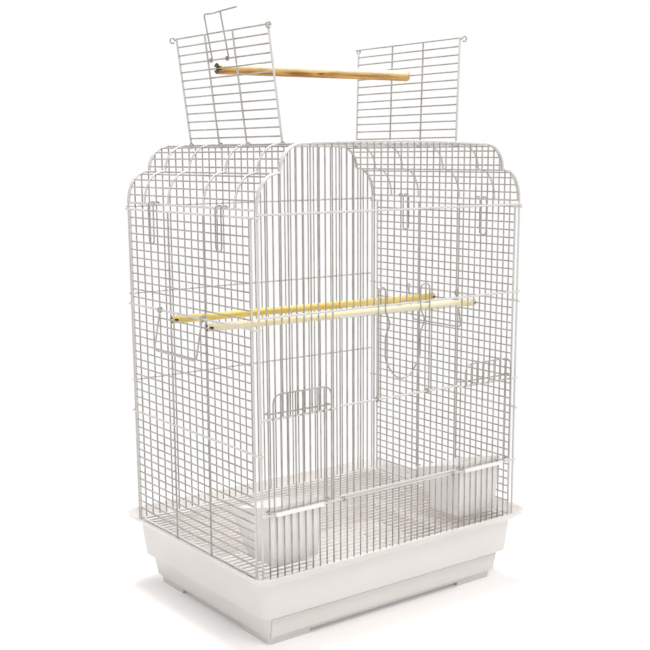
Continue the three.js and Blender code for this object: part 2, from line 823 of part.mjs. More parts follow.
function baseTub() {
  const rings = [
    baseRing(-footInset - skirtWidth, skirtHeight),
    baseRing(-footInset - skirtWidth, 0),
    baseRing(-footInset, 0),
    baseRing(-footTopInset, footHeight),
    baseRing(-lowerWallInset, lowerWallHeight),
    baseRing(-shelfInset, shelfHeight),
    baseRing(-upperWallInset, upperWallHeight),
    baseRing(upperWallOut, flareHeight),
    baseRing(lipFootOut, lipFootHeight),
    baseRing(lipOut, lipHeight),
    baseRing(lipOut - baseWall, lipHeight),
    baseRing(lipFootOut - baseWall, lipFootHeight + baseWall / 2),
    baseRing(seatOut, seatHeight, seatCorner),
    baseRing(-seatInset, seatHeight, seatCorner),
    baseRing(-seatInset, seatHeight - seatThickness, seatCorner),
    baseRing(upperWallOut - baseWall, flareHeight - seatThickness),
    baseRing(-upperWallInset - baseWall, upperWallHeight + baseWall),
    baseRing(-shelfInset - baseWall, shelfHeight + baseWall),
    baseRing(-lowerWallInset - baseWall, lowerWallHeight),
  ];
  let tub = solidOf(skinned(rings, false));
  const outside = halfWidth + lipOut;
  const wallY = halfDepth - lowerWallInset - 2 * baseWall;
  const slotTop = shelfHeight - trayHeadGap;
  tub = tub.subtract(block([-traySlotHalf, -outside, lowerWallHeight], [traySlotHalf, -wallY, slotTop]));
  const gapX = footGapWidth / 2;
  const gapY = footGapLength / 2;
  tub = tub.subtract(block([-gapX, -outside, -footHeight], [gapX, outside, footGapHeight]));
  tub = tub.subtract(block([-outside, -gapY, -footHeight], [outside, gapY, footGapHeight]));
  for (const sideX of [-1, 1]) {
    for (const sideY of [-1, 1]) {
      const x = sideX * (halfWidth + flangeSlotOut);
      const y = sideY * flangeSlotSpacing / 2;
      const low = [x - flangeSlotWidth / 2, y - flangeSlotLength / 2, flareHeight];
      const high = [x + flangeSlotWidth / 2, y + flangeSlotLength / 2, lipHeight];
      tub = tub.subtract(block(low, high));
    }
  }
  return tub;
}

// Tray whose front closes the slot in the base
function tray() {
  const half = traySlotHalf - traySideGap;
  const foot = lowerWallHeight + fitGap;
  const head = shelfHeight - trayHeadGap - trayHeadGap;
  const slope = (lowerWallInset - shelfInset) / (shelfHeight - lowerWallHeight);
  const faceY = (height) => -halfDepth + lowerWallInset - slope * (height - lowerWallHeight);
  const profile = new THREE.Shape();
  profile.moveTo(faceY(foot) - trayLipOut, foot);
  profile.lineTo(faceY(foot) + trayPlate, foot);
  profile.lineTo(faceY(head) + trayPlate, head);
  profile.lineTo(faceY(head), head);
  profile.lineTo(faceY(foot + trayLipHeight), foot + trayLipHeight);
  profile.lineTo(faceY(foot + trayLipHeight) - trayLipOut, foot + trayLipHeight);
  const front = new THREE.ExtrudeGeometry(profile, { depth: 2 * half, bevelEnabled: false });
  front.applyMatrix4(new THREE.Matrix4().set(0, 0, 1, -half, 1, 0, 0, 0, 0, 1, 0, 0, 0, 0, 0, 1));
  const near = faceY(head) + trayPlate / 2;
  const far = halfDepth - lowerWallInset - baseWall - trayBackGap;
  const rim = foot + trayWallHeight;
  const pan = block([-half, near, foot], [half, far, rim]);
  const roomLow = [-half + trayWall, near + trayWall, foot + trayWall];
  const room = block(roomLow, [half - trayWall, far - trayWall, head]);
  return solidOf(front).add(pan).subtract(room);
}

// Scoop shaped seed cup, hung over the sill rail by a lip on its front wall. Its rim falls towards the back
function seedCup(firstBar) {
  const bars = feederLastBar - feederFirstBar;
  const centreX = barX(firstBar) + bars * wirePitch / 2;
  const frontY = -halfDepth + thinFlat + fitGap;
  const foot = sillHeight - cupHeight;
  const halfX = cupWidth / 2;
  const ring = (inset, near, far, height) => {
    const corner = cupCorner - inset / 2;
    const middleY = (near + far) / 2;
    return roundedRing(halfX - inset, (far - near) / 2, corner, height, cupCornerSteps, centreX, middleY);
  };
  const floor = (wall, height) => {
    const near = frontY + cupTaper + wall;
    return ring(cupTaper + wall, near, frontY + cupFootDepth - wall, height);
  };
  const rim = (wall) => {
    const points = ring(wall, frontY + wall, frontY + cupDepth - wall, sillHeight + cupFrontRise);
    for (const point of points) {
      point.z -= cupRimFall * (point.y - frontY) / cupDepth;
    }
    return points;
  };
  const rings = [floor(0, foot), rim(0), rim(cupWall), floor(cupWall, foot + cupWall)];
  const bowl = solidOf(skinned(rings, false));
  const lipFoot = sillHeight + railHalf + fitGap;
  const lipTop = lipFoot + cupLip;
  const lipFrontY = -halfDepth - railFace - fitGap;
  const low = centreX - halfX + cupCorner - cupLipInset;
  const high = centreX + halfX - cupCorner + cupLipInset;
  const flat = block([low, lipFrontY - cupLip, lipFoot], [high, frontY + cupWall, lipTop]);
  const drop = block([low, lipFrontY - cupLip, lipFoot - cupLipDrop], [high, lipFrontY, lipTop]);
  return bowl.add(flat).add(drop);
}

// Perch inside the cage: its left end is cut crosswise and straddles a side bar, its right end a side wire
function innerPerch(leftY, rightY) {
  const height = sideRowHeight(innerPerchRow);
  const skew = Math.abs(rightY - leftY) / (2 * sideRailX);
  const leftX = -sideRailX + thinPoint + fitGap + skew * innerPerchDiameter / 2;
  const rightX = sideRailX + innerPerchOut;
  let perch = roundBar([leftX, leftY, height], [rightX, rightY, height], innerPerchDiameter, perchSides);
  const r = innerPerchDiameter;
  const slit = barHalf + kerfGap;
  const slitEnd = leftX + innerKerfDepth;
  perch = perch.subtract(block([leftX - r, leftY - slit, height - r], [slitEnd, leftY + slit, height + r]));
  const kerf = thinHalf + kerfGap;
  perch = perch.subtract(block([leftX - r, leftY - r, height - kerf], [slitEnd, leftY + r, height + kerf]));
  const kerfEnd = rightX - innerKerfDepth;
  return perch.subtract(block([kerfEnd, rightY - r, height - kerf], [rightX + r, rightY + r, height + kerf]));
}

// Place of a roof door wire in the cage
function roofDoorPlace(side, lean, row) {
  const along = roofDoorFirstWire + row * wirePitch;
  const angle = radians(lean);
  return [side * (hingeX + along * Math.sin(angle)), hingeHeight + along * Math.cos(angle)];
}

// Play perch between the open roof doors, a kerf in each end round a door wire
function playPerch() {
  const [leftX, leftZ] = roofDoorPlace(-1, leftLean, playPerchRow);
  const [rightX, rightZ] = roofDoorPlace(1, rightLean, playPerchRow);
  const start = [leftX - playPerchOverhang, playPerchLeftY, leftZ];
  const end = [rightX + playPerchOverhang, playPerchRightY, rightZ];
  let perch = roundBar(start, end, playPerchDiameter, perchSides);
  const r = playPerchDiameter;
  const half = playKerf / 2;
  const depth = thinPoint + kerfGap;
  const left = block([start[0] - r, start[1] - r, leftZ - half], [leftX + depth, start[1] + r, leftZ + half]);
  const right = block([rightX - depth, end[1] - r, rightZ - half], [end[0] + r, end[1] + r, rightZ + half]);
  perch = perch.subtract(left);
  return perch.subtract(right);
}

// A piece on a leaning group at its hinge
function leaning(mesh, x, z, degrees) {
  const group = new THREE.Group();
  group.position.set(x, 0, z);
  group.rotation.y = radians(degrees);
  group.add(mesh);
  return group;
}

cage.add(piece('base_tub', baseTub(), plastic));
cage.add(piece('slide_tray', tray(), plastic));
cage.add(piece('floor_grate', floorGrate(), ivory));
cage.add(piece('front_panel', frontPanel(), ivory));
cage.add(piece('back_panel', backPanel(), ivory));
cage.add(piece('side_panel_left', sidePanel(-1), ivory));
cage.add(piece('side_panel_right', sidePanel(1), ivory));
cage.add(piece('roof', roof(), ivory));
cage.add(piece('main_door', mainDoor(), ivory));
cage.add(piece('door_latch', doorLatch(), ivory));
const rightFeederBar = barCount - feederLastBar + feederFirstBar;
cage.add(piece('feeder_door_left', feederDoor(feederFirstBar), ivory));
cage.add(piece('feeder_door_right', feederDoor(rightFeederBar), ivory));
cage.add(piece('seed_cup_left', seedCup(feederFirstBar), cupWhite));
cage.add(piece('seed_cup_right', seedCup(rightFeederBar), cupWhite));
innerRibYs().reverse().forEach((y, i) => {
  cage.add(piece(`inner_perch_${i + 1}`, innerPerch(y, innerPerchRightYs[i]), goldWood));
});
cage.add(piece('play_perch', playPerch(), lightWood));
for (const [name, side] of [['left', -1], ['right', 1]]) {
  for (const [place, end] of [['front', -1], ['back', 1]]) {
    cage.add(piece(`roof_clip_${name}_${place}`, roofClip(side, end * clipCentre), ivory));
  }
}
cage.add(leaning(piece('roof_door_left', roofDoor(-1), ivory), -hingeX, hingeHeight, -leftLean));
cage.add(leaning(piece('roof_door_right', roofDoor(1), ivory), hingeX, hingeHeight, rightLean));
cage.add(leaning(piece('roof_bail', roofBail(), ivory), -hingeX, hingeHeight, -leftLean));
const handleLean = THREE.MathUtils.radToDeg(Math.asin((thinFlat + fitGap + barHalf) / wirePitch));
for (const [name, side] of [['left', -1], ['right', 1]]) {
  const handle = piece(`carry_handle_${name}`, carryHandle(), ivory);
  cage.add(leaning(handle, side * sideRailX, sideRowHeight(sideMiddleRow), -side * handleLean));
}

export default cage;
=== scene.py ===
import math

import bpy
import numpy as np
from mathutils import Matrix


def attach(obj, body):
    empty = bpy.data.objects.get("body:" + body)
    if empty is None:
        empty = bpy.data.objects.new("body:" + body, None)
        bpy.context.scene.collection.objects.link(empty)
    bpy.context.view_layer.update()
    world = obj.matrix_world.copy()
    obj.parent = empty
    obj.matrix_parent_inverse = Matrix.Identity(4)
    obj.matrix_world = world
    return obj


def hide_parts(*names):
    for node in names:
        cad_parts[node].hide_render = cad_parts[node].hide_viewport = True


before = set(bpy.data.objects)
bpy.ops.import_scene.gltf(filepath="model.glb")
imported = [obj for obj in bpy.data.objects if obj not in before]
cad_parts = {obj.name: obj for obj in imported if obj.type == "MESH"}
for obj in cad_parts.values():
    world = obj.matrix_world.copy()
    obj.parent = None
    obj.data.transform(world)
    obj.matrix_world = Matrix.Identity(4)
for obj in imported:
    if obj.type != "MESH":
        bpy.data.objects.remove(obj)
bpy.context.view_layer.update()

print("frame loaded:", len(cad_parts), "nodes")

# All sizes below are millimetres in the part's own frame, and toMetres is applied when a mesh is made
toMetres = 0.001
cage = {
    "width": 496, "depth": 368, "pitch": 12.5, "seat": 107.3, "crown": 715, "eave": 628,
    "shoulderRun": 32, "shoulderRise": 47.4, "ledgeRun": 6, "ledgeRise": 2, "crownRun": 37, "crownRise": 37.6,
    "crownBow": 4, "postFoot": 1.5, "wrapCorner": 3.2,
    "thin": 1.15, "bar": 1.4, "rail": 1.65,
}
halfWidth = cage["width"] / 2
halfDepth = cage["depth"] / 2
pitch = cage["pitch"]
# How far each layer of wire stands out from its panel's plane. Wires that pass round a corner use wrap
layers = {"rail": 2.668, "door": 5.5, "wrap": 3.468, "sideEdge": 3.168, "sideBar": 1.06}
rails = {"foot": 108.884, "sill": 206, "feederHead": 343, "doorMiddle": 346, "doorHead": 484, "upper": 622}
sideRows = {"top": 618, "count": 39, "middle": 12, "perch": 13, "low": 26, "edge": 172.2}
ribs = {"inner": (-46.65, 55.65), "opening": 129, "end": 180.532, "hingeX": 164.7, "hingeZ": 714.7}
columns = {"count": 38, "feeder": (1, 9), "door": (11, 29)}
wireEnd = 1.2
sides = {"left": -1, "right": 1}
roofLean = {"left": 7.6, "right": 1.8}


def shellObject(name, shell):
    # A shell is points in millimetres and faces, and a wire's shell also has its radius at each point
    mesh = bpy.data.meshes.new(name)
    mesh.from_pydata((np.asarray(shell[0]) * toMetres).tolist(), [], shell[1])
    mesh.update()
    made = bpy.data.objects.new(name, mesh)
    bpy.context.scene.collection.objects.link(made)
    return made


def dressed(piece, finish, smoothAngle, body, node):
    mesh = piece.data
    mesh.materials.clear()
    mesh.materials.append(finish)
    mesh.polygons.foreach_set("use_smooth", np.ones(len(mesh.polygons), bool))
    mesh.set_sharp_from_angle(angle=math.radians(smoothAngle))
    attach(piece, body)
    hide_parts(node)


def wirePiece(name, shell, finish, body, node):
    piece = shellObject(name, shell)
    piece.data.attributes.new("wireRadius", "FLOAT", "POINT").data.foreach_set("value", shell[2])
    dressed(piece, finish, 60, body, node)


def softened(path, radius, steps=4, closed=False):
    # Each corner of a path becomes a quadratic curve: (1-t)^2 before + 2t(1-t) corner + t^2 after
    mostShare = 0.46
    path = np.asarray(path, float)
    before, after = np.roll(path, 1, 0), np.roll(path, -1, 0)
    lengthBefore = np.linalg.norm(path - before, axis=1)[:, None]
    lengthAfter = np.linalg.norm(after - path, axis=1)[:, None]
    start = path + (before - path) * np.minimum(radius / lengthBefore, mostShare)
    end = path + (after - path) * np.minimum(radius / lengthAfter, mostShare)
    t = np.linspace(0, 1, steps + 1)[None, :, None]
    curve = (1 - t) ** 2 * start[:, None] + 2 * t * (1 - t) * path[:, None] + t ** 2 * end[:, None]
    if closed:
        return curve.reshape(-1, 3)
    return np.vstack([path[:1], curve[1:-1].reshape(-1, 3), path[-1:]])


def tube(path, radius, closed=False, sides=10):
    # Ring k, side j: path[k] + radius (cos a_j across[k] + sin a_j up[k]), with rounded tips on an open wire.
    # across is at right angles to the run and to the guide that no part of the path runs along
    path = np.asarray(path, float)
    if closed:
        run = np.roll(path, -1, 0) - np.roll(path, 1, 0)
        radii = np.full(len(path), float(radius))
    else:
        first = (path[1] - path[0]) / np.linalg.norm(path[1] - path[0])
        last = (path[-1] - path[-2]) / np.linalg.norm(path[-1] - path[-2])
        tipShares, tipInsets = np.array([0.45, 0.85, 1]), np.array([0, 0.25, 0.75]) * radius
        head = path[0] + tipInsets[:, None] * first
        tail = path[-1] - tipInsets[::-1, None] * last
        path = np.vstack([head, path[1:-1], tail])
        radii = np.concatenate([tipShares, np.ones(len(path) - 6), tipShares[::-1]]) * radius
        run = np.gradient(path, axis=0)
    run /= np.linalg.norm(run, axis=1)[:, None]
    guides = np.array([[1, 0, 0], [0, 1, 0], [0, 0, 1], [0.6, 0.48, 0.64]])
    guide = guides[np.argmin(np.abs(run @ guides.T).max(axis=0))]
    across = np.cross(run, guide)
    across /= np.linalg.norm(across, axis=1)[:, None]
    up = np.cross(run, across)
    angle = np.arange(sides) / sides * 2 * np.pi
    ring = np.cos(angle)[None, :, None] * across[:, None] + np.sin(angle)[None, :, None] * up[:, None]
    points = (path[:, None] + radii[:, None, None] * ring).reshape(-1, 3)
    count = len(path)
    k, j = np.meshgrid(np.arange(count if closed else count - 1), np.arange(sides), indexing="ij")
    here, there = k * sides, (k + 1) % count * sides
    nextSide = (j + 1) % sides
    faces = np.stack([here + j, here + nextSide, there + nextSide, there + j], -1).reshape(-1, 4).tolist()
    if not closed:
        faces.append(list(range(sides))[::-1])
        faces.append(list(range((count - 1) * sides, count * sides)))
    return points, faces, np.full(len(points), float(radius))


def gathered(shells):
    # Many shells of (points, faces, wire radius) in one, with the face numbers moved along
    faces, offset = [], 0
    for shellPoints, shellFaces, _ in shells:
        faces.extend([[index + offset for index in face] for face in shellFaces])
        offset += len(shellPoints)
    points, _, reach = zip(*shells)
    return np.vstack(points), faces, np.concatenate(reach)


def leaned(shell, x, z, degrees):
    # A shell built on its hinge axis at the origin, turned about Y and set on the hinge
    points, faces, reach = shell
    c, s = math.cos(math.radians(degrees)), math.sin(math.radians(degrees))
    turn = np.array([[c, 0, s], [0, 1, 0], [-s, 0, c]])
    return points @ turn.T + np.array([x, 0, z]), faces, reach


def straight(start, end, radius):
    return tube([start, end], radius)


def ringEye(centre, radius, wireRadius, along, steps=18):
    # Circle round an axis: centre + radius (cos a, sin a) in the plane across that axis
    angle = np.arange(steps) / steps * 2 * np.pi
    flat, up, none = radius * np.cos(angle), radius * np.sin(angle), np.zeros(steps)
    parts = (none, flat, up) if along == "x" else (flat, none, up)
    return tube(np.stack(parts, -1) + np.array(centre, float), wireRadius, closed=True, sides=8)


def barX(column):
    return column * pitch - halfWidth


def rowZ(row):
    return sideRows["top"] - row * pitch


def roofHalf(steps=14):
    # Two quarter ellipses with a short ledge between: run = a (1 - cos t), height = b sin t
    t = np.linspace(0, np.pi / 2, steps)
    run, rise = 1 - np.cos(t), np.sin(t)
    first = np.stack([cage["shoulderRun"] * run, cage["eave"] + cage["shoulderRise"] * rise], -1)
    foot = cage["eave"] + cage["shoulderRise"] + cage["ledgeRise"]
    start = cage["shoulderRun"] + cage["ledgeRun"]
    second = np.stack([start + cage["crownRun"] * run, foot + cage["crownRise"] * rise], -1)
    return np.vstack([first, second])


roofOutline = roofHalf()


def roofHeight(x):
    return np.interp(halfWidth - np.abs(x), roofOutline[:, 0], roofOutline[:, 1])


def archHeight(x):
    # The crown of a panel bows up by bow (1 - (x / half)^2)
    share = np.minimum(np.abs(x) / (halfWidth - roofOutline[-1, 0]), 1)
    return roofHeight(x) + cage["crownBow"] * (1 - share ** 2)


def archPath(y, bowed=False):
    left = np.stack([roofOutline[:, 0] - halfWidth, np.full(len(roofOutline), y), roofOutline[:, 1]], -1)
    right = left[::-1] * np.array([-1, 1, 1])
    if not bowed:
        return np.vstack([left, right])
    x = np.linspace(left[-1, 0], right[0, 0], 12)[1:-1]
    crown = np.stack([x, np.full(len(x), y), archHeight(x)], -1)
    return np.vstack([left, crown, right])


def feederSpan(side):
    # The fixed bars at the two edges of a feeder opening
    near, far = columns["feeder"]
    first = near if side < 0 else columns["count"] - far + near
    return barX(first), barX(first) + (far - near) * pitch


def uprights(y, column):
    # Straight pieces of one upright of the front panel, broken by the door and feeder openings
    x = barX(column)
    fromEdge = min(column, columns["count"] + 1 - column) - columns["feeder"][0]
    inDoor = columns["door"][0] <= column <= columns["door"][1]
    inFeeder = 0 < fromEdge < columns["feeder"][1] - columns["feeder"][0]
    if not (inDoor or inFeeder):
        return [straight((x, y, rails["foot"]), (x, y, archHeight(x)), cage["thin"])]
    head = rails["doorHead"] if inDoor else rails["feederHead"]
    return [
        straight((x, y, rails["foot"]), (x, y, rails["sill"] + wireEnd), cage["thin"]),
        straight((x, y, head - wireEnd), (x, y, archHeight(x)), cage["thin"]),
    ]


def panelFrame(y, side):
    # Post, arch, post and foot rail of a front or back panel, and the rails that run right across
    arch = archPath(y, bowed=True)
    footZ = rails["foot"] - cage["postFoot"]
    feet = np.array([[-halfWidth, y, footZ], [halfWidth, y, footZ]])
    shells = [tube(np.vstack([feet[:1], arch, feet[1:]]), cage["rail"], sides=12)]
    shells.append(straight((-halfWidth, y, rails["foot"]), (halfWidth, y, rails["foot"]), cage["rail"]))
    reach = halfWidth + cage["rail"] + wireEnd
    place = y + side * layers["rail"]
    for key in ("upper", "doorHead", "sill" if side < 0 else "feederHead"):
        shells.append(straight((-reach, place, rails[key]), (reach, place, rails[key]), cage["rail"]))
    return shells


def frontPanel():
    # The panel's frame, a short rail beside the door at each feeder, and the broken uprights
    shells = panelFrame(-halfDepth, -1)
    place = -halfDepth - layers["rail"]
    reach = halfWidth + cage["rail"] + wireEnd
    inner = barX(columns["door"][0] - 1) + 2 * wireEnd
    for side in (-1, 1):
        head = rails["feederHead"]
        shells.append(straight((side * reach, place, head), (side * -inner, place, head), cage["rail"]))
    for column in range(1, columns["count"] + 1):
        shells += uprights(-halfDepth, column)
    return gathered(shells)


def backPanel():
    # The panel's frame and a whole upright in each column
    shells = panelFrame(halfDepth, 1)
    for column in range(1, columns["count"] + 1):
        x = barX(column)
        shells.append(straight((x, halfDepth, rails["foot"]), (x, halfDepth, archHeight(x)), cage["thin"]))
    return gathered(shells)


def sidePanel(side):
    # Edge posts, inner bars, a wire per row, the foot rail, and stout rows that wrap the corner posts
    railX, edge = side * (halfWidth + layers["wrap"]), sideRows["edge"]
    stout = (0, sideRows["middle"], sideRows["low"])
    shells = []
    for y in (-edge, edge):
        x = side * (halfWidth + layers["sideEdge"])
        shells.append(straight((x, y, cage["seat"]), (x, y, sideRows["top"]), cage["rail"]))
    for y in ribs["inner"]:
        x = side * (halfWidth + layers["sideBar"])
        shells.append(straight((x, y, cage["seat"]), (x, y, sideRows["top"] + wireEnd), cage["bar"]))
    for row in range(sideRows["count"] + 1):
        if row not in stout:
            z = rowZ(row)
            shells.append(straight((railX, -edge - wireEnd, z), (railX, edge + wireEnd, z), cage["thin"]))
    shells.append(straight((railX, -edge, rails["foot"]), (railX, edge, rails["foot"]), cage["rail"]))
    tip, wrapY = side * (halfWidth - wireEnd), halfDepth + layers["wrap"]
    for row in stout:
        z = rowZ(row)
        path = [(tip, -wrapY, z), (railX, -wrapY, z), (railX, wrapY, z), (tip, wrapY, z)]
        shells.append(tube(softened(path, cage["wrapCorner"], 6), cage["rail"]))
    return gathered(shells)


def roofStations():
    # Places along the roof outline a wire pitch apart, by arc length
    step = np.linalg.norm(np.diff(roofOutline, axis=0), axis=1)
    travel = np.concatenate([[0], np.cumsum(step)])
    stops = np.arange(pitch, travel[-1], pitch)
    return np.stack([np.interp(stops, travel, roofOutline[:, i]) for i in (0, 1)], -1)


def roofPanel():
    # Four ribs right across, two pairs that stop at the opening, wires along the sides and across both ends
    shells = []
    for y in (-ribs["end"], -ribs["opening"], ribs["opening"], ribs["end"]):
        shells.append(tube(archPath(y), cage["rail"]))
    for y in ribs["inner"]:
        for side in (-1, 1):
            x = side * (halfWidth - roofOutline[:, 0])
            path = np.stack([x, np.full(len(x), y), roofOutline[:, 1]], -1)
            path = np.vstack([path, [side * ribs["hingeX"], y, ribs["hingeZ"]]])
            shells.append(tube(path, cage["rail"]))
    end = ribs["end"]
    for side in (-1, 1):
        for x, z in ((halfWidth, cage["eave"]), (ribs["hingeX"], ribs["hingeZ"])):
            shells.append(straight((side * x, -end, z), (side * x, end, z), cage["rail"]))
        for run, z in roofStations():
            x = side * (halfWidth - run)
            shells.append(straight((x, -end, z), (x, end, z), cage["thin"]))
    strip = end - ribs["opening"]
    rows = round(strip / pitch)
    for row in range(1, rows):
        for side in (-1, 1):
            y, x, z = side * (ribs["opening"] + row * strip / rows), ribs["hingeX"], cage["crown"]
            shells.append(straight((-x, y, z), (x, y, z), cage["thin"]))
    return gathered(shells)


def grate():
    # A rounded frame wire, level wires across it, and one bar under them from front to back
    floor = {"inset": 4.5, "corner": 6, "crossInset": 6, "crossDrop": 2.4}
    x, y, z = halfWidth - floor["inset"], halfDepth - floor["inset"], rails["foot"]
    frameWire = softened([(-x, -y, z), (x, -y, z), (x, y, z), (-x, y, z)], floor["corner"], 5, closed=True)
    shells = [tube(frameWire, cage["rail"], closed=True)]
    rows = round(2 * y / pitch)
    for row in range(1, rows):
        place = -y + row * 2 * y / rows
        shells.append(straight((-x, place, z), (x, place, z), cage["thin"]))
    crossY, crossZ = y - floor["crossInset"], z - floor["crossDrop"]
    shells.append(straight((0, -crossY, crossZ), (0, crossY, crossZ), cage["bar"]))
    return gathered(shells)


def mainDoor():
    # An upright per column of the door way, three cross wires, and two eyes on the sill rail
    door = {"foot": 210.75, "top": 474, "loopInset": 4, "loop": 3.5}
    left, right = barX(columns["door"][0]), barX(columns["door"][1])
    place = -halfDepth - layers["rail"]
    shells = []
    for column in range(columns["door"][0], columns["door"][1] + 1):
        x, y = barX(column), -halfDepth
        shells.append(straight((x, y, door["foot"] - wireEnd), (x, y, door["top"] + wireEnd), cage["thin"]))
    over = 2 * wireEnd
    for z in (door["foot"], rails["doorMiddle"], door["top"]):
        shells.append(straight((left - over, place, z), (right + over, place, z), cage["rail"]))
    for x in (left + door["loopInset"], right - door["loopInset"]):
        shells.append(ringEye((x, place, rails["sill"]), door["loop"], cage["thin"], "x"))
    return gathered(shells)


def doorLatch():
    latch = {
        "outer": (-44, 55), "inner": (-31, 37), "foot": 348, "top": 511, "corner": 9, "loop": 3.5,
        "kinkTop": 473, "kinkMiddle": 456, "kinkFoot": 441, "kinkRun": 10,
        "bowTop": 402, "bowSide": 378, "bowFoot": 371,
    }
    y, railY = -halfDepth - layers["door"], -halfDepth - layers["rail"]
    bowCentre = sum(latch["inner"]) / 2

    def leg(outer, inner):
        # Up the outer leg, over the square top, down past the kink, which leans right on both legs
        return [
            (outer, y, latch["foot"]), (outer, y, latch["top"]), (inner, y, latch["top"]),
            (inner, y, latch["kinkTop"]), (inner + latch["kinkRun"], y, latch["kinkMiddle"]),
            (inner, y, latch["kinkFoot"]), (inner, y, latch["bowTop"]),
            ((inner + bowCentre) / 2, y, latch["bowSide"]),
        ]

    left, right = (leg(*ends) for ends in zip(latch["outer"], latch["inner"]))
    path = left + [(bowCentre, y, latch["bowFoot"])] + right[::-1]
    shells = [tube(softened(path, latch["corner"], 6), cage["thin"])]
    for x in latch["outer"]:
        shells.append(ringEye((x, railY, rails["doorMiddle"]), latch["loop"], cage["thin"], "x"))
    return gathered(shells)


def feederDoor(side):
    # An arch with uprights, and two cross wires whose ends curl behind the fixed bars that the door runs on
    door = {
        "offset": 5, "foot": 211, "cross": 351, "top": 378, "corner": 15,
        "curlLeft": 3.6, "curlRight": (5.1, 4.1), "curlDepth": 3.3,
    }
    leftBar, rightBar = feederSpan(side)
    left, right = leftBar + door["offset"], rightBar + door["offset"]
    y, foot, top = -halfDepth - layers["door"], door["foot"] - wireEnd, door["top"]
    arch = [(left, y, foot), (left, y, top), (right, y, top), (right, y, foot)]
    shells = [tube(softened(arch, door["corner"], 8), cage["thin"])]
    for x in np.arange(left + pitch, right - pitch / 2, pitch):
        shells.append(straight((x, y, foot), (x, y, top), cage["thin"]))
    crossY, curlY = -halfDepth - layers["wrap"], -halfDepth + door["curlDepth"]
    curlX = leftBar - door["curlLeft"]
    frontX, backX = (rightBar + reach for reach in door["curlRight"])
    for z in (door["foot"], door["cross"]):
        path = [
            (leftBar + wireEnd, curlY, z), (curlX, curlY, z), (curlX, crossY, z),
            (frontX, crossY, z), (backX, curlY, z), (rightBar - wireEnd, curlY, z),
        ]
        shells.append(tube(softened(path, cage["wrapCorner"], 5), cage["thin"]))
    return gathered(shells)


def roofDoor(side):
    # Upright from its hinge at the origin: edge bars, inner bars, cross wires, and a curl at each top corner
    door = {"half": 125, "first": 11.5, "wires": 13, "inner": 38, "barLayer": 2.404, "loop": 3.5}
    hook = {"radius": 4, "start": 3, "out": 6, "height": 160, "turn": -0.75, "steps": 12}
    top = door["first"] + (door["wires"] - 1) * pitch
    edge = door["half"]
    shells = []
    for y in (-edge, edge):
        shells.append(straight((0, y, door["loop"]), (0, y, top + 2 * wireEnd), cage["rail"]))
    for y in (-door["inner"], door["inner"]):
        x = side * door["barLayer"]
        shells.append(straight((x, y, door["loop"]), (x, y, top + wireEnd), cage["bar"]))
    for y in (-edge, -door["inner"], door["inner"], edge):
        shells.append(ringEye((0, y, 0), door["loop"], cage["thin"], "y"))
    for row in range(door["wires"]):
        z = door["first"] + row * pitch
        shells.append(straight((0, -edge - wireEnd, z), (0, edge + wireEnd, z), cage["thin"]))
    z, angle = hook["height"], np.linspace(np.pi, hook["turn"] * np.pi, hook["steps"])
    curlX, curlZ = side * hook["radius"] * (1 + np.cos(angle)), z + hook["radius"] * np.sin(angle)
    for end in (-1, 1):
        curl = np.stack([curlX, np.full(hook["steps"], end * (edge + hook["out"])), curlZ], -1)
        path = np.vstack([[0, end * edge, z], [0, end * (edge + hook["start"]), z], curl])
        shells.append(tube(path, cage["thin"]))
    return gathered(shells)


def roofBail():
    # Two legs on eyes, leaning by shift, with a top bar that runs on as a finger past the near leg
    bail = {
        "pivot": 124, "top": 190, "near": -11.5, "far": 33.5, "finger": -56, "dip": 1.5, "shift": 7,
        "layer": 2.676, "corner": 5, "eye": 2.45,
    }
    x, top = bail["layer"], bail["top"]
    near, far, shift = bail["near"], bail["far"], bail["shift"]
    middle = (near + far) / 2
    path = [
        (x, far, bail["pivot"]), (x, far + shift, top), (x, middle + shift, top - bail["dip"]),
        (x, near + shift, top), (x, bail["finger"] + shift, top + bail["dip"]),
    ]
    shells = [tube(softened(path, bail["corner"], 5), cage["thin"])]
    shells.append(straight((x, near, bail["pivot"]), (x, near + shift, top), cage["thin"]))
    for y in (near, far):
        shells.append(ringEye((0, y, bail["pivot"]), bail["eye"], cage["thin"], "y"))
    return gathered(shells)


def carryHandle():
    # A square loop that hangs from two eyes on its hinge axis, at the origin
    handle = {"near": -40.5, "far": 85, "drop": 62, "corner": 9, "loop": 3.9}
    near, far, drop = handle["near"], handle["far"], handle["drop"]
    path = [(0, near, -handle["loop"]), (0, near, -drop), (0, far, -drop), (0, far, -handle["loop"])]
    shells = [tube(softened(path, handle["corner"], 8), cage["bar"])]
    for y in (near, far):
        shells.append(ringEye((0, y, 0), handle["loop"], cage["bar"], "y"))
    return gathered(shells)


def roofClip(side, y):
    # One bent wire: up behind the eave rail, over it, down outside the mesh, and back the same way
    clip = {"half": 7.5, "foot": 569, "corner": 7}
    over, eave = layers["wrap"], cage["eave"]
    back, flat = side * (halfWidth - over), side * (halfWidth + 2 * over)

    def leg(y):
        return [(back, y, eave), (back, y, eave + over), (flat, y, eave + over), (flat, y, clip["foot"])]

    path = leg(y - clip["half"]) + leg(y + clip["half"])[::-1]
    return tube(softened(path, clip["corner"], 6), cage["thin"])


def roundedRing(halfX, halfY, corner, z, steps, centre=(0, 0)):
    # Quarter circles at four corners: centre + sign (half - corner) + corner (cos a, sin a)
    angle = (np.arange(4)[:, None] + np.linspace(0, 1, steps + 1)[None]) * np.pi / 2
    signX = np.array([1, -1, -1, 1])[:, None]
    signY = np.array([1, 1, -1, -1])[:, None]
    x = centre[0] + signX * (halfX - corner) + corner * np.cos(angle)
    y = centre[1] + signY * (halfY - corner) + corner * np.sin(angle)
    return np.stack([x, y, np.full(x.shape, float(z))], -1).reshape(-1, 3)


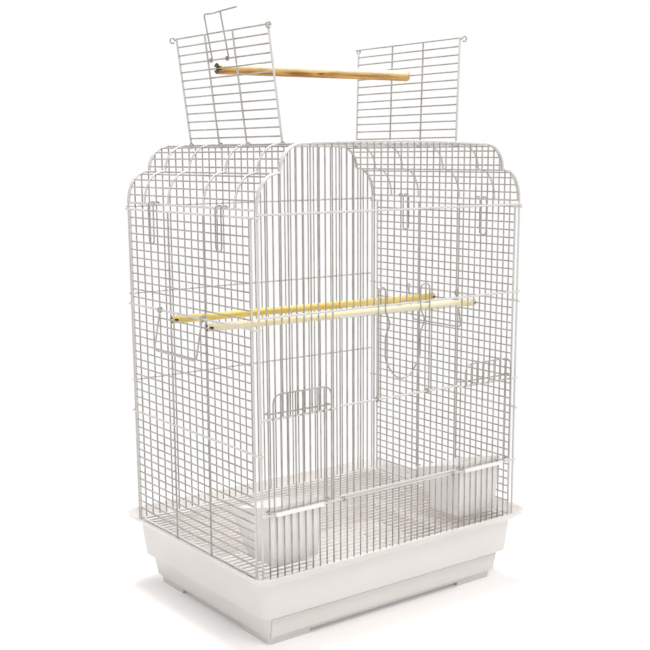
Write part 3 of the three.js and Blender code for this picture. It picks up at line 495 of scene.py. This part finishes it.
def lofted(rings):
    # Rings of equal count joined by quads, with a flat end on the first and the last
    count, size = len(rings), len(rings[0])
    k, j = np.meshgrid(np.arange(count - 1), np.arange(size), indexing="ij")
    nextPoint = (j + 1) % size
    quads = [k * size + j, k * size + nextPoint, (k + 1) * size + nextPoint, (k + 1) * size + j]
    faces = np.stack(quads, -1).reshape(-1, 4).tolist()
    faces.append(list(range(size))[::-1])
    faces.append(list(range((count - 1) * size, count * size)))
    return np.vstack(rings), faces


def boxShell(low, high):
    # Six quads between two corners, for cuts and for the lips of the seed cups
    low, high = np.array(low, float), np.array(high, float)
    picks = np.array([[i & 1, i >> 1 & 1, i >> 2] for i in range(8)])
    points = low + picks * (high - low)
    faces = [[0, 2, 3, 1], [4, 5, 7, 6], [0, 1, 5, 4], [2, 6, 7, 3], [0, 4, 6, 2], [1, 3, 7, 5]]
    return points, faces


def carve(piece, operation, shells):
    # Joins or cuts shells one after another, each result kept in the piece's own mesh
    for shell in shells:
        tool = shellObject("carvingTool", shell)
        change = piece.modifiers.new("carve", "BOOLEAN")
        change.operation, change.solver, change.object = operation, "EXACT", tool
        keepModifiers(piece)
        bpy.data.objects.remove(tool)


def keepModifiers(piece):
    graph = bpy.context.evaluated_depsgraph_get()
    result = bpy.data.meshes.new_from_object(piece.evaluated_get(graph))
    piece.modifiers.clear()
    old = piece.data
    piece.data = result
    bpy.data.meshes.remove(old)


def moulded(name, shell, finish, body, node, joins=(), cuts=(), edge=0.6, edgeAngle=28):
    # A solid piece whose edges sharper than edgeAngle are rounded
    piece = shellObject(name, shell)
    carve(piece, "UNION", joins)
    carve(piece, "DIFFERENCE", cuts)
    bevel = piece.modifiers.new("edges", "BEVEL")
    bevel.width, bevel.segments, bevel.limit_method = edge * toMetres, 3, "ANGLE"
    bevel.angle_limit = math.radians(edgeAngle)
    keepModifiers(piece)
    dressed(piece, finish, 50, body, node)


tub = {
    "foot": 24.6, "footHeight": 8.8, "footTop": 24, "wall": 3, "lowerInset": 17.5, "lowerHeight": 16,
    "shelfInset": 13, "shelfHeight": 44, "upperInset": 3, "upperHeight": 50, "upperOut": 2.5,
    "flareHeight": 102, "lipFootOut": 21, "lipFootHeight": 116.5, "lipOut": 23.5, "lipHeight": 121,
    "seatOut": 6, "seatInset": 9, "seat": 107, "seatThickness": 3.5, "skirt": 7.4, "skirtHeight": 12.5,
    "corner": 16, "cornerShare": 0.4, "seatCorner": 8, "cornerSteps": 12,
    "footGapX": 150, "footGapY": 90, "footGapHeight": 7, "below": -9, "slotHalf": 225.5, "slotTop": 43.5,
    "flangeSlotOut": 14, "flangeSlotY": 95, "flangeSlotHalf": (2, 5),
}


def tubRing(out, z, corner=None):
    # A ring of the base at a distance out from the wire walls, rounder the further out it is
    corner = tub["corner"] + tub["cornerShare"] * out if corner is None else corner
    return roundedRing(halfWidth + out, halfDepth + out, corner, z, tub["cornerSteps"])


def baseTub():
    # From the skirt behind the foot rim up the outside, over the lip, down to the seat and down inside
    t, wall = tub, tub["wall"]
    rings = [
        tubRing(-t["foot"] - t["skirt"], t["skirtHeight"]), tubRing(-t["foot"] - t["skirt"], 0),
        tubRing(-t["foot"], 0), tubRing(-t["footTop"], t["footHeight"]),
        tubRing(-t["lowerInset"], t["lowerHeight"]), tubRing(-t["shelfInset"], t["shelfHeight"]),
        tubRing(-t["upperInset"], t["upperHeight"]), tubRing(t["upperOut"], t["flareHeight"]),
        tubRing(t["lipFootOut"], t["lipFootHeight"]), tubRing(t["lipOut"], t["lipHeight"]),
        tubRing(t["lipOut"] - wall, t["lipHeight"]),
        tubRing(t["lipFootOut"] - wall, t["lipFootHeight"] + wall / 2),
        tubRing(t["seatOut"], t["seat"], t["seatCorner"]),
        tubRing(-t["seatInset"], t["seat"], t["seatCorner"]),
        tubRing(-t["seatInset"], t["seat"] - t["seatThickness"], t["seatCorner"]),
        tubRing(t["upperOut"] - wall, t["flareHeight"] - t["seatThickness"]),
        tubRing(-t["upperInset"] - wall, t["upperHeight"] + wall),
        tubRing(-t["shelfInset"] - wall, t["shelfHeight"] + wall),
        tubRing(-t["lowerInset"] - wall, t["lowerHeight"]),
    ]
    far = halfWidth + t["lipOut"]
    wallY = halfDepth - t["lowerInset"] - 2 * wall
    cuts = [
        boxShell((-t["slotHalf"], -far, t["lowerHeight"]), (t["slotHalf"], -wallY, t["slotTop"])),
        boxShell((-t["footGapX"], -far, t["below"]), (t["footGapX"], far, t["footGapHeight"])),
        boxShell((-far, -t["footGapY"], t["below"]), (far, t["footGapY"], t["footGapHeight"])),
    ]
    slotX, slotY = t["flangeSlotHalf"]
    for sideX in (-1, 1):
        for sideY in (-1, 1):
            x, y = sideX * (halfWidth + t["flangeSlotOut"]), sideY * t["flangeSlotY"]
            low, high = (x - slotX, y - slotY, t["flareHeight"]), (x + slotX, y + slotY, t["lipHeight"])
            cuts.append(boxShell(low, high))
    moulded("baseTubShell", lofted(rings), baseFinish, "cage", "base_tub", cuts=cuts)


def slideTray():
    # A pan joined to a front plate whose face follows the slope of the base's lower wall
    tray = {
        "half": 224.7, "foot": 16.3, "rim": 38.3, "head": 43, "plate": 3, "wall": 2,
        "lipHeight": 4, "lipOut": 1.5, "backGap": 3, "corner": 5, "innerCorner": 3.5, "steps": 6,
    }
    slope = (tub["lowerInset"] - tub["shelfInset"]) / (tub["shelfHeight"] - tub["lowerHeight"])

    def faceY(z):
        return -halfDepth + tub["lowerInset"] - slope * (z - tub["lowerHeight"])

    foot, head, plate = tray["foot"], tray["head"], tray["plate"]
    lip = foot + tray["lipHeight"]
    profile = np.array([
        [faceY(foot) - tray["lipOut"], foot], [faceY(foot) + plate, foot], [faceY(head) + plate, head],
        [faceY(head), head], [faceY(lip), lip], [faceY(lip) - tray["lipOut"], lip],
    ])
    ends = [np.column_stack([np.full(len(profile), x), profile]) for x in (-tray["half"], tray["half"])]
    near, far = faceY(head) + plate / 2, halfDepth - tub["lowerInset"] - tub["wall"] - tray["backGap"]

    def ring(inset, corner, z):
        half, centre = (tray["half"] - inset, (far - near) / 2 - inset), (0, (near + far) / 2)
        return roundedRing(*half, corner, z, tray["steps"], centre)

    outer, inner, wall, rim = tray["corner"], tray["innerCorner"], tray["wall"], tray["rim"]
    heights = [(0, outer, foot), (0, outer, rim), (wall, inner, rim), (wall, inner, foot + wall)]
    pan = lofted([ring(*height) for height in heights])
    moulded("slideTrayShell", lofted(ends), baseFinish, "tray", "slide_tray", joins=[pan])


def seedCup(name, side):
    # Scoop: four rings from the outer foot up over the rim and down inside, the rim falling towards the back
    cup = {
        "halfX": 47.2, "depth": 112, "footDepth": 74, "height": 80, "frontRise": 10, "rimFall": 29,
        "taper": 6, "corner": 9, "wall": 1.8, "steps": 8,
        "lip": 1.2, "lipRise": 1.884, "lipOut": 4.552, "lipInset": 5, "drop": 5,
    }
    centreX, frontY = sum(feederSpan(side)) / 2, -halfDepth + cage["thin"]
    foot, sill, wall = rails["sill"] - cup["height"], rails["sill"], cup["wall"]

    def ring(inset, near, far, z):
        centre = (centreX, (near + far) / 2)
        corner = cup["corner"] - inset / 2
        return roundedRing(cup["halfX"] - inset, (far - near) / 2, corner, z, cup["steps"], centre)

    def floor(inset, z):
        return ring(cup["taper"] + inset, frontY + cup["taper"] + inset, frontY + cup["footDepth"] - inset, z)

    def rim(inset):
        points = ring(inset, frontY + inset, frontY + cup["depth"] - inset, sill + cup["frontRise"])
        points[:, 2] -= cup["rimFall"] * (points[:, 1] - frontY) / cup["depth"]
        return points

    bowl = lofted([floor(0, foot), rim(0), rim(wall), floor(wall, foot + wall)])
    low, high = centreX - cup["halfX"] + cup["lipInset"], centreX + cup["halfX"] - cup["lipInset"]
    lipFoot, lipTop = sill + cup["lipRise"], sill + cup["lipRise"] + cup["lip"]
    outY = -halfDepth - cup["lipOut"]
    joins = [
        boxShell((low, outY - cup["lip"], lipFoot), (high, frontY + wall, lipTop)),
        boxShell((low, outY - cup["lip"], lipFoot - cup["drop"]), (high, outY, lipTop)),
    ]
    node = f"seed_cup_{name}"
    moulded(f"seedCupShell.{name}", bowl, cupFinish, "cage", node, joins=joins, edge=0.4)


def dowel(start, end, radius, seed, sides=40, stations=70):
    # Turned bar: its radius is radius - slack + swell sin(place / swellRun + seed)
    # + ripple sin(place / rippleRun + 2 angle + seed), and both ends are chamfered in two steps
    turning = {"chamfer": 1.1, "slack": 0.1, "swell": 0.06, "swellRun": 37, "ripple": 0.05, "rippleRun": 11}
    start, end = np.array(start, float), np.array(end, float)
    length = np.linalg.norm(end - start)
    along = (end - start) / length
    chamfer = turning["chamfer"]
    steps, drops = np.array([0, chamfer / 2]), np.array([1, 0.3]) * chamfer / radius
    place = np.concatenate([steps, np.linspace(chamfer, length - chamfer, stations), length - steps[::-1]])
    share = np.concatenate([1 - drops, np.ones(stations), 1 - drops[::-1]])
    across = np.cross(along, [0, 0, 1])
    across /= np.linalg.norm(across)
    up = np.cross(across, along)
    angle = np.arange(sides) / sides * 2 * np.pi
    swell = np.sin(place[:, None] / turning["swellRun"] + seed) * turning["swell"]
    ripple = np.sin(place[:, None] / turning["rippleRun"] + 2 * angle[None] + seed) * turning["ripple"]
    reach = share[:, None] * (radius - turning["slack"] + swell + ripple)
    ring = np.cos(angle)[None, :, None] * across + np.sin(angle)[None, :, None] * up
    points = start + place[:, None, None] * along + reach[..., None] * ring
    return lofted(list(points))


def innerPerch(index, leftY, rightY, finish):
    # Level kerfs at both ends take the mesh wire, and an upright slit at the left end takes the bar there
    size = {"radius": 6, "left": 249.5, "right": 254.068, "run": 503, "depth": 9, "slit": 1.75, "kerf": 1.722}
    z, r, kerf, slit = rowZ(sideRows["perch"]), 2 * size["radius"], size["kerf"], size["slit"]
    left = -size["left"] + abs(rightY - leftY) / size["run"] * size["radius"]
    right = size["right"]
    leftIn, rightIn = left + size["depth"], right - size["depth"]
    cuts = [
        boxShell((left - r, leftY - slit, z - r), (leftIn, leftY + slit, z + r)),
        boxShell((left - r, leftY - r, z - kerf), (leftIn, leftY + r, z + kerf)),
        boxShell((rightIn, rightY - r, z - kerf), (right + r, rightY + r, z + kerf)),
    ]
    bar = dowel((left, leftY, z), (right, rightY, z), size["radius"], index)
    name, node = f"innerPerchDowel.{index}", f"inner_perch_{index}"
    moulded(name, bar, finish, "cage", node, cuts=cuts, edge=0.25, edgeAngle=50)


def playPerch():
    # Its kerfs take one wire of each leaning roof door, at a distance along from the hinge
    size = {"radius": 8.2, "along": 111.5, "overhang": 2.5, "kerf": 2.4, "depth": 1.93}
    ends = []
    for name, side in sides.items():
        turn, along = math.radians(roofLean[name]), size["along"]
        x, z = ribs["hingeX"] + along * math.sin(turn), ribs["hingeZ"] + along * math.cos(turn)
        ends.append((side * x, z))
    (leftX, leftZ), (rightX, rightZ) = ends
    r, kerf, depth, overhang = 2 * size["radius"], size["kerf"], size["depth"], size["overhang"]
    leftY, rightY = 18, -2
    cuts = [
        boxShell((leftX - r, leftY - r, leftZ - kerf), (leftX + depth, leftY + r, leftZ + kerf)),
        boxShell((rightX - depth, rightY - r, rightZ - kerf), (rightX + r, rightY + r, rightZ + kerf)),
    ]
    bar = dowel((leftX - overhang, leftY, leftZ), (rightX + overhang, rightY, rightZ), size["radius"], 5)
    finish, node = paleWoodFinish, "play_perch"
    moulded("playPerchDowel", bar, finish, "perch", node, cuts=cuts, edge=0.25, edgeAngle=50)


class Signal:
    # One output socket, with the sums that finishes need and their reflected forms, so that 1 - mask works
    def __init__(self, graph, socket):
        self.graph, self.socket = graph, socket

    def math(self, operation, other=0.0, clamp=False):
        inputs = {0: self, 1: other}
        return self.graph.node("ShaderNodeMath", {"operation": operation, "use_clamp": clamp}, inputs)

    def __add__(self, other):
        return self.math("ADD", other)

    def __sub__(self, other):
        return self.math("SUBTRACT", other)

    def __mul__(self, other):
        return self.math("MULTIPLY", other)

    def __rsub__(self, other):
        return self * -1 + other

    __radd__, __rmul__ = __add__, __mul__

    def size(self):
        return self.math("ABSOLUTE")

    def clamped(self):
        return self.math("ADD", clamp=True)

    def blend(self, low, high):
        inputs = {0: self, 6: low, 7: high}
        return self.graph.node("ShaderNodeMix", {"data_type": "RGBA"}, inputs, 2)


class Graph:
    # The nodes of one material or world
    def __init__(self, name, world=False):
        self.owner = (bpy.data.worlds if world else bpy.data.materials).new(name)
        self.owner.use_nodes = True
        self.tree = self.owner.node_tree
        self.tree.nodes.clear()

    def node(self, kind, settings=None, inputs=None, output=0):
        made = self.tree.nodes.new(kind)
        for key, value in (settings or {}).items():
            setattr(made, key, value)
        for key, value in (inputs or {}).items():
            if isinstance(value, Signal):
                self.tree.links.new(value.socket, made.inputs[key])
            else:
                made.inputs[key].default_value = value
        return Signal(self, made.outputs[output]) if made.outputs else made

    def coordinates(self, scale=(1, 1, 1), turn=(0, 0, 0)):
        place = self.node("ShaderNodeTexCoord", None, None, "Object")
        return self.node("ShaderNodeMapping", None, {"Vector": place, "Scale": scale, "Rotation": turn})

    def coordinate(self, place, axis):
        return self.node("ShaderNodeSeparateXYZ", None, {"Vector": place}, axis)

    def vector(self, operation, place, other=(0, 0, 0), output=0):
        return self.node("ShaderNodeVectorMath", {"operation": operation}, {0: place, 1: other}, output)

    def noise(self, place, scale, detail=3.0, roughness=0.55):
        inputs = {"Vector": place, "Scale": scale, "Detail": detail, "Roughness": roughness}
        return self.node("ShaderNodeTexNoise", None, inputs)

    def ramp(self, amount, low, high):
        # 0 at low and 1 at high, where low may be the larger
        inputs = {"Value": amount, "From Min": low, "From Max": high}
        return self.node("ShaderNodeMapRange", {"clamp": True}, inputs)

    def bump(self, height, strength, distance):
        inputs = {"Height": height, "Strength": strength, "Distance": distance}
        return self.node("ShaderNodeBump", None, inputs)

    def surface(self, inputs):
        shader = self.node("ShaderNodeBsdfPrincipled", None, inputs)
        self.node("ShaderNodeOutputMaterial", None, {"Surface": shader})
        return self.owner


def shade(red, green, blue):
    return (red, green, blue, 1)


def wireCoating(name, clean, warm, stout):
    # Off-white coat on wire: thin warm patches, a fine orange peel, and stout wire painted paler than thin
    # wire, a painted highlight for the wider gleam that thick wire catches
    look = {
        "gloss": 0.3, "patchScale": 38.0, "patchGloss": 0.16,
        "peelScale": 1400, "peelGloss": 0.06, "peelDepth": 0.0002,
    }
    graph = Graph(name)
    place = graph.coordinates()
    patches = graph.ramp(graph.noise(place, look["patchScale"], 4.0), 0.42, 0.72)
    peel = graph.noise(place, look["peelScale"], 2.0)
    radius = graph.node("ShaderNodeAttribute", {"attribute_name": "wireRadius"}, None, "Fac")
    # Share of the paler stout colour by wire radius: a painted highlight on thick wire
    paintedHighlightShare = graph.ramp(radius, cage["thin"] + 0.1, cage["rail"])
    return graph.surface({
        "Base Color": paintedHighlightShare.blend(patches.blend(shade(*clean), shade(*warm)), shade(*stout)),
        "Roughness": look["gloss"] + patches * look["patchGloss"] + peel * look["peelGloss"],
        "Metallic": 0.25, "Coat Weight": 0.5, "Coat Roughness": 0.15,
        "Normal": graph.bump(peel, 0.25, look["peelDepth"]),
    })


def basePlastic():
    # Moulded polystyrene: faint flow marks, fine grain, and level scratches that are stronger near the foot
    look = {
        "light": shade(0.835, 0.805, 0.785), "flow": shade(0.81, 0.775, 0.755),
        "rubbed": shade(0.70, 0.66, 0.62), "gloss": 0.42,
        "flowScale": 3.0, "grainScale": 1600.0, "grainDepth": 0.0003, "scratchScale": 2.2,
        "wornHeight": 0.05, "footWear": 0.7, "wear": 0.12,
    }
    graph = Graph("moulded.basePlastic")
    place = graph.coordinates()
    flow = graph.ramp(graph.noise(graph.coordinates((3, 3, 9)), look["flowScale"], 5.0), 0.35, 0.75)
    grain = graph.noise(place, look["grainScale"], 2.0)
    streaks = graph.noise(graph.coordinates((14, 14, 600)), look["scratchScale"], 6.0, 0.7)
    scratches = graph.ramp(streaks, 0.62, 0.72)
    low = graph.ramp(graph.coordinate(place, "Z"), look["wornHeight"], 0.0)
    wear = (low * scratches * look["footWear"] + scratches * look["wear"]).clamped()
    return graph.surface({
        "Base Color": wear.blend(flow.blend(look["light"], look["flow"]), look["rubbed"]),
        "Roughness": look["gloss"] + flow * 0.08 + wear * 0.2,
        "Coat Weight": 0.12, "Coat Roughness": 0.3,
        "Normal": graph.bump(grain * 0.7 + scratches * 0.3, 0.18, look["grainDepth"]),
    })


def cupPlastic():
    look = {
        "light": shade(0.95, 0.93, 0.92), "cloud": shade(0.93, 0.905, 0.89),
        "cloudScale": 22.0, "grainScale": 1100.0, "gloss": 0.3, "grainDepth": 0.0002,
    }
    graph = Graph("moulded.cupPlastic")
    place = graph.coordinates()
    cloud = graph.ramp(graph.noise(place, look["cloudScale"], 4.0), 0.4, 0.7)
    grain = graph.noise(place, look["grainScale"], 2.0)
    return graph.surface({
        "Base Color": cloud.blend(look["light"], look["cloud"]),
        "Roughness": look["gloss"] + cloud * 0.12,
        "Coat Weight": 0.3, "Coat Roughness": 0.15,
        "Normal": graph.bump(grain, 0.12, look["grainDepth"]),
    })


def turnedWood(name, look, turn):
    # Grain runs along the bar: noise stretched along X, turned to follow the bar's skew. Over it lie dark
    # fibres, knots, long streaks, a painted highlight on the bar's top where one is given, and painted shade
    # in kerfs and end faces
    graph = Graph(name)
    place = graph.coordinates((1, 1, 1), turn)

    def stretched(share):
        return graph.node("ShaderNodeMapping", None, {"Vector": place, "Scale": (share, 1, 1)})

    fibres = graph.noise(stretched(0.035), look["fibreScale"], 5.0, 0.65)
    bands = graph.noise(stretched(0.12), look["bandScale"], 4.0)
    knots = graph.noise(stretched(0.35), look["knotScale"], 2.0)
    band = graph.ramp(bands, 0.42, 0.62)
    dark = graph.ramp(fibres, 0.56, 0.78)
    knot = graph.ramp(knots, look["knotFrom"], look["knotFrom"] + 0.07)
    plain = graph.coordinates()
    x, z = graph.coordinate(plain, "X"), graph.coordinate(plain, "Z")
    # Kerfs and end faces are painted near black: painted shade in the slots and at the bar's ends
    ends = 0.0
    for side, endX, kerfX, kerfZ, kerfHalf in look["ends"]:
        inKerf = graph.ramp((z - kerfZ).size(), kerfHalf + 0.0003, kerfHalf + 0.0001)
        ends = inKerf * graph.ramp(x * side, kerfX - 0.0003, kerfX - 0.0001) + ends
        ends = graph.ramp(x * side, endX - 0.0008, endX - 0.0002) + ends
    colour = band.blend(look["light"], look["mid"])
    # The top of the bar is painted paler between two heights: a painted highlight for light from above
    if look["paintedTopLight"]:
        low, high, share = look["paintedTopLight"]
        colour = (graph.ramp(z, low, high) * share).blend(colour, look["pale"])
    colour = (dark * look["grain"]).blend(colour, look["dark"])
    colour = (knot * 0.75).blend(colour, look["knot"])
    for streakX, streakZ, long, high, strength in look["streaks"]:
        offset = graph.vector("SUBTRACT", plain, (streakX, 0, streakZ))
        flat = graph.vector("MULTIPLY", offset, (1 / long, 0, 1 / high))
        away = graph.vector("LENGTH", flat, output="Value")
        colour = (graph.ramp(away + fibres * 0.6, 1.5, 0.8) * strength).blend(colour, look["knot"])
    return graph.surface({
        "Base Color": ends.clamped().blend(colour, look["slot"]),
        "Roughness": 0.5 + dark * 0.2 + knot * 0.1,
        "Normal": graph.bump(fibres * 0.6 + bands * 0.4, 0.35, 0.0004),
    })


# The panel wire's colours are the off-white coat darkened, as painted shade, and its stout colour is darkened
# less, a painted highlight; the grate wire is given the coat's white without that darkening
wireFinish = wireCoating("coated.offWhiteWirePaintedShade", (0.46, 0.435, 0.41), (0.33, 0.29, 0.255), (0.70, 0.68, 0.66))
grateFinish = wireCoating("coated.whiteGrate", (0.94, 0.915, 0.90), (0.86, 0.81, 0.78), (0.94, 0.915, 0.90))
baseFinish = basePlastic()
cupFinish = cupPlastic()
# In metres, under ends: side, X of the end face, X where the kerf stops, and its height and half height.
# Under streaks: X, Z, half length, half height and strength. Under the top-light key: low and high Z between
# which the bar's top is painted paler, a painted highlight for light from above, and its share
grainScales = {"fibreScale": 900.0, "bandScale": 120.0, "knotScale": 42.0}
paleWoodFinish = turnedWood("turned.paleWood", {
    **grainScales,
    # These wood colours are darkened as painted shade, standing for the bar's shaded underside
    "light": shade(0.78, 0.46, 0.13), "mid": shade(0.42, 0.18, 0.025), "dark": shade(0.20, 0.07, 0.01),
    "knot": shade(0.16, 0.06, 0.02), "knotFrom": 0.69, "grain": 0.8, "slot": shade(0.07, 0.045, 0.03),
    # The pale colour is the painted highlight on the bar's top
    "paintedTopLight": (0.8245, 0.8295, 0.85), "pale": shade(0.97, 0.90, 0.68),
    "streaks": (
        (-0.111, 0.8205, 0.036, 0.0017, 0.65), (-0.045, 0.8228, 0.034, 0.0018, 0.65),
        (0.081, 0.8228, 0.045, 0.0017, 0.6), (-0.004, 0.8232, 0.0085, 0.0014, 1),
    ),
    "ends": ((-1, 0.1819, 0.1775, 0.8252, 0.0024), (1, 0.1707, 0.1663, 0.8261, 0.0024)),
}, (0, 0, 0.056))
# Inner bars: their kerfs and end faces are painted near black, as painted shade
innerBar = {
    **grainScales, "slot": shade(0.04, 0.03, 0.02), "paintedTopLight": None, "streaks": (),
    "ends": ((-1, 0.2491, 0.2401, 0.4555, 0.0017), (1, 0.2541, 0.2451, 0.4555, 0.0017)),
}
goldFinish = turnedWood("turned.goldWood", {
    **innerBar, "knot": shade(0.12, 0.055, 0.03), "knotFrom": 0.68, "grain": 0.7,
    "light": shade(0.88, 0.70, 0.25), "mid": shade(0.74, 0.52, 0.10), "dark": shade(0.40, 0.24, 0.03),
}, (0, 0, 0.08))
strawFinish = turnedWood("turned.strawWood", {
    **innerBar, "knot": shade(0.20, 0.10, 0.04), "knotFrom": 0.72, "grain": 0.5,
    "light": shade(0.93, 0.86, 0.62), "mid": shade(0.86, 0.75, 0.42), "dark": shade(0.55, 0.42, 0.16),
}, (0, 0, 0.08))
print("finishes made")


wirePiece("frontPanelWires", frontPanel(), wireFinish, "cage", "front_panel")
wirePiece("backPanelWires", backPanel(), wireFinish, "cage", "back_panel")
wirePiece("roofWires", roofPanel(), wireFinish, "cage", "roof")
wirePiece("floorGrateWires", grate(), grateFinish, "cage", "floor_grate")
wirePiece("mainDoorWires", mainDoor(), wireFinish, "front_door", "main_door")
wirePiece("doorLatchWire", doorLatch(), wireFinish, "latch", "door_latch")
handleLean = 10.99
clipPlaces = {"front": -97, "back": 97}
for name, side in sides.items():
    wirePiece(f"sidePanelWires.{name}", sidePanel(side), wireFinish, "cage", f"side_panel_{name}")
    feeder = feederDoor(side)
    wirePiece(f"feederDoorWires.{name}", feeder, wireFinish, f"feeder_{name}", f"feeder_door_{name}")
    door = leaned(roofDoor(side), side * ribs["hingeX"], ribs["hingeZ"], side * roofLean[name])
    wirePiece(f"roofDoorWires.{name}", door, wireFinish, f"roof_{name}", f"roof_door_{name}")
    handleX, handleZ = side * (halfWidth + layers["wrap"]), rowZ(sideRows["middle"])
    handle = leaned(carryHandle(), handleX, handleZ, -side * handleLean)
    wirePiece(f"carryHandleWire.{name}", handle, wireFinish, f"handle_{name}", f"carry_handle_{name}")
    for end, y in clipPlaces.items():
        clip = roofClip(side, y)
        wirePiece(f"roofClipWire.{name}.{end}", clip, wireFinish, "cage", f"roof_clip_{name}_{end}")
bail = leaned(roofBail(), -ribs["hingeX"], ribs["hingeZ"], -roofLean["left"])
wirePiece("roofBailWire", bail, wireFinish, "bail", "roof_bail")
print("wire pieces made")

baseTub()
slideTray()
for name, side in sides.items():
    seedCup(name, side)
print("moulded pieces made")

innerPerch(1, ribs["inner"][1], 19, goldFinish)
innerPerch(2, ribs["inner"][0], -82, strawFinish)
playPerch()
print("perches made")

shot = {
    "place": (-1.0710, -1.4336, 0.6991), "yaw": 37.016, "pitch": 10.587, "roll": -0.295,
    "lens": 62.16, "shiftX": -0.0075, "shiftY": 0.062,
}


def placed(name, data, right, up, back, place):
    # A camera or lamp that looks against back, with right and up as its own X and Y
    made = bpy.data.objects.new(name, data)
    bpy.context.scene.collection.objects.link(made)
    matrix = np.eye(4)
    matrix[:3] = np.column_stack([right, up, back, place])
    made.matrix_world = Matrix(matrix.tolist())
    return made


def makeCamera():
    yaw, pitch, roll = (math.radians(shot[key]) for key in ("yaw", "pitch", "roll"))
    ahead = np.array([math.sin(yaw) * math.cos(pitch), math.cos(yaw) * math.cos(pitch), -math.sin(pitch)])
    right = np.array([math.cos(yaw), -math.sin(yaw), 0])
    up = np.cross(right, ahead)
    rolledRight = math.cos(roll) * right + math.sin(roll) * up
    rolledUp = math.cos(roll) * up - math.sin(roll) * right
    data = bpy.data.cameras.new("photoCamera")
    data.lens, data.sensor_width = shot["lens"], 36
    data.shift_x, data.shift_y = shot["shiftX"], shot["shiftY"]
    data.clip_start, data.clip_end = 0.05, 50
    bpy.context.scene.camera = placed("photoCamera", data, rolledRight, rolledUp, -ahead, shot["place"])


def makeLamp(name, place, target, size, power, colour=(1, 1, 1)):
    data = bpy.data.lights.new(name, "AREA")
    data.shape, data.size, data.energy, data.color = "DISK", size, power, colour
    away = np.array(place, float) - np.array(target, float)
    away /= np.linalg.norm(away)
    side = np.cross([0, 0, 1], away)
    side /= np.linalg.norm(side)
    placed(name, data, side, np.cross(away, side), away, place)


def shownRays(graph):
    # 1 for rays that see the backdrop: from the camera, in gloss and through clear things
    path = graph.tree.nodes.new("ShaderNodeLightPath")
    kinds = ("Camera", "Glossy", "Transmission")
    camera, gloss, clear = (Signal(graph, path.outputs[f"Is {kind} Ray"]) for kind in kinds)
    return (camera + gloss + clear).clamped()


def makeWorld():
    ambient = 0.61
    graph = Graph("studioWorld", world=True)
    strength = ambient + shownRays(graph) * (1 - ambient)
    sky = graph.node("ShaderNodeBackground", None, {"Color": shade(1, 1, 1), "Strength": strength})
    graph.node("ShaderNodeOutputWorld", None, {"Surface": sky})
    bpy.context.scene.world = graph.owner


def makeFloor():
    # Near the cage the floor takes shadow, and from near to far it turns plain white for the rays that see it
    floor = {"lift": 0.2, "near": 0.36, "far": 0.68, "colour": shade(0.87, 0.85, 0.835), "reach": 30000}
    white = shade(1, 1, 1)
    graph = Graph("paleFloor")
    place = graph.node("ShaderNodeTexCoord", None, None, "Object")
    away = graph.ramp(graph.vector("LENGTH", place, output="Value"), floor["near"], floor["far"])
    matte = graph.node("ShaderNodeBsdfDiffuse", None, {"Color": floor["colour"]})
    lift = shownRays(graph) * floor["lift"]
    glow = graph.node("ShaderNodeEmission", None, {"Color": white, "Strength": lift})
    shadowed = graph.node("ShaderNodeAddShader", None, {0: matte, 1: glow})
    plain = graph.node("ShaderNodeEmission", None, {"Color": white, "Strength": 1.0})
    faded = graph.node("ShaderNodeMixShader", None, {0: away * shownRays(graph), 1: shadowed, 2: plain})
    graph.node("ShaderNodeOutputMaterial", None, {"Surface": faded})
    r = floor["reach"]
    sheet = shellObject("studioFloor", ([(-r, -r, 0), (r, -r, 0), (r, r, 0), (-r, r, 0)], [(0, 1, 2, 3)]))
    sheet.data.materials.append(graph.owner)


makeCamera()
makeWorld()
makeFloor()
makeLamp("keySoftbox", (-0.6, -2.4, 3.4), (0, 0, 0.35), 1.3, 44, (1, 0.98, 0.95))
makeLamp("fillSoftbox", (2.8, -1.2, 1.9), (0, 0, 0.4), 2.0, 8, (0.97, 0.985, 1))
makeLamp("topSoftbox", (0.2, 0.5, 3.6), (0, 0, 0.3), 1.6, 92)
bpy.context.scene.view_settings.view_transform = "Standard"
print("camera, floor and light made")
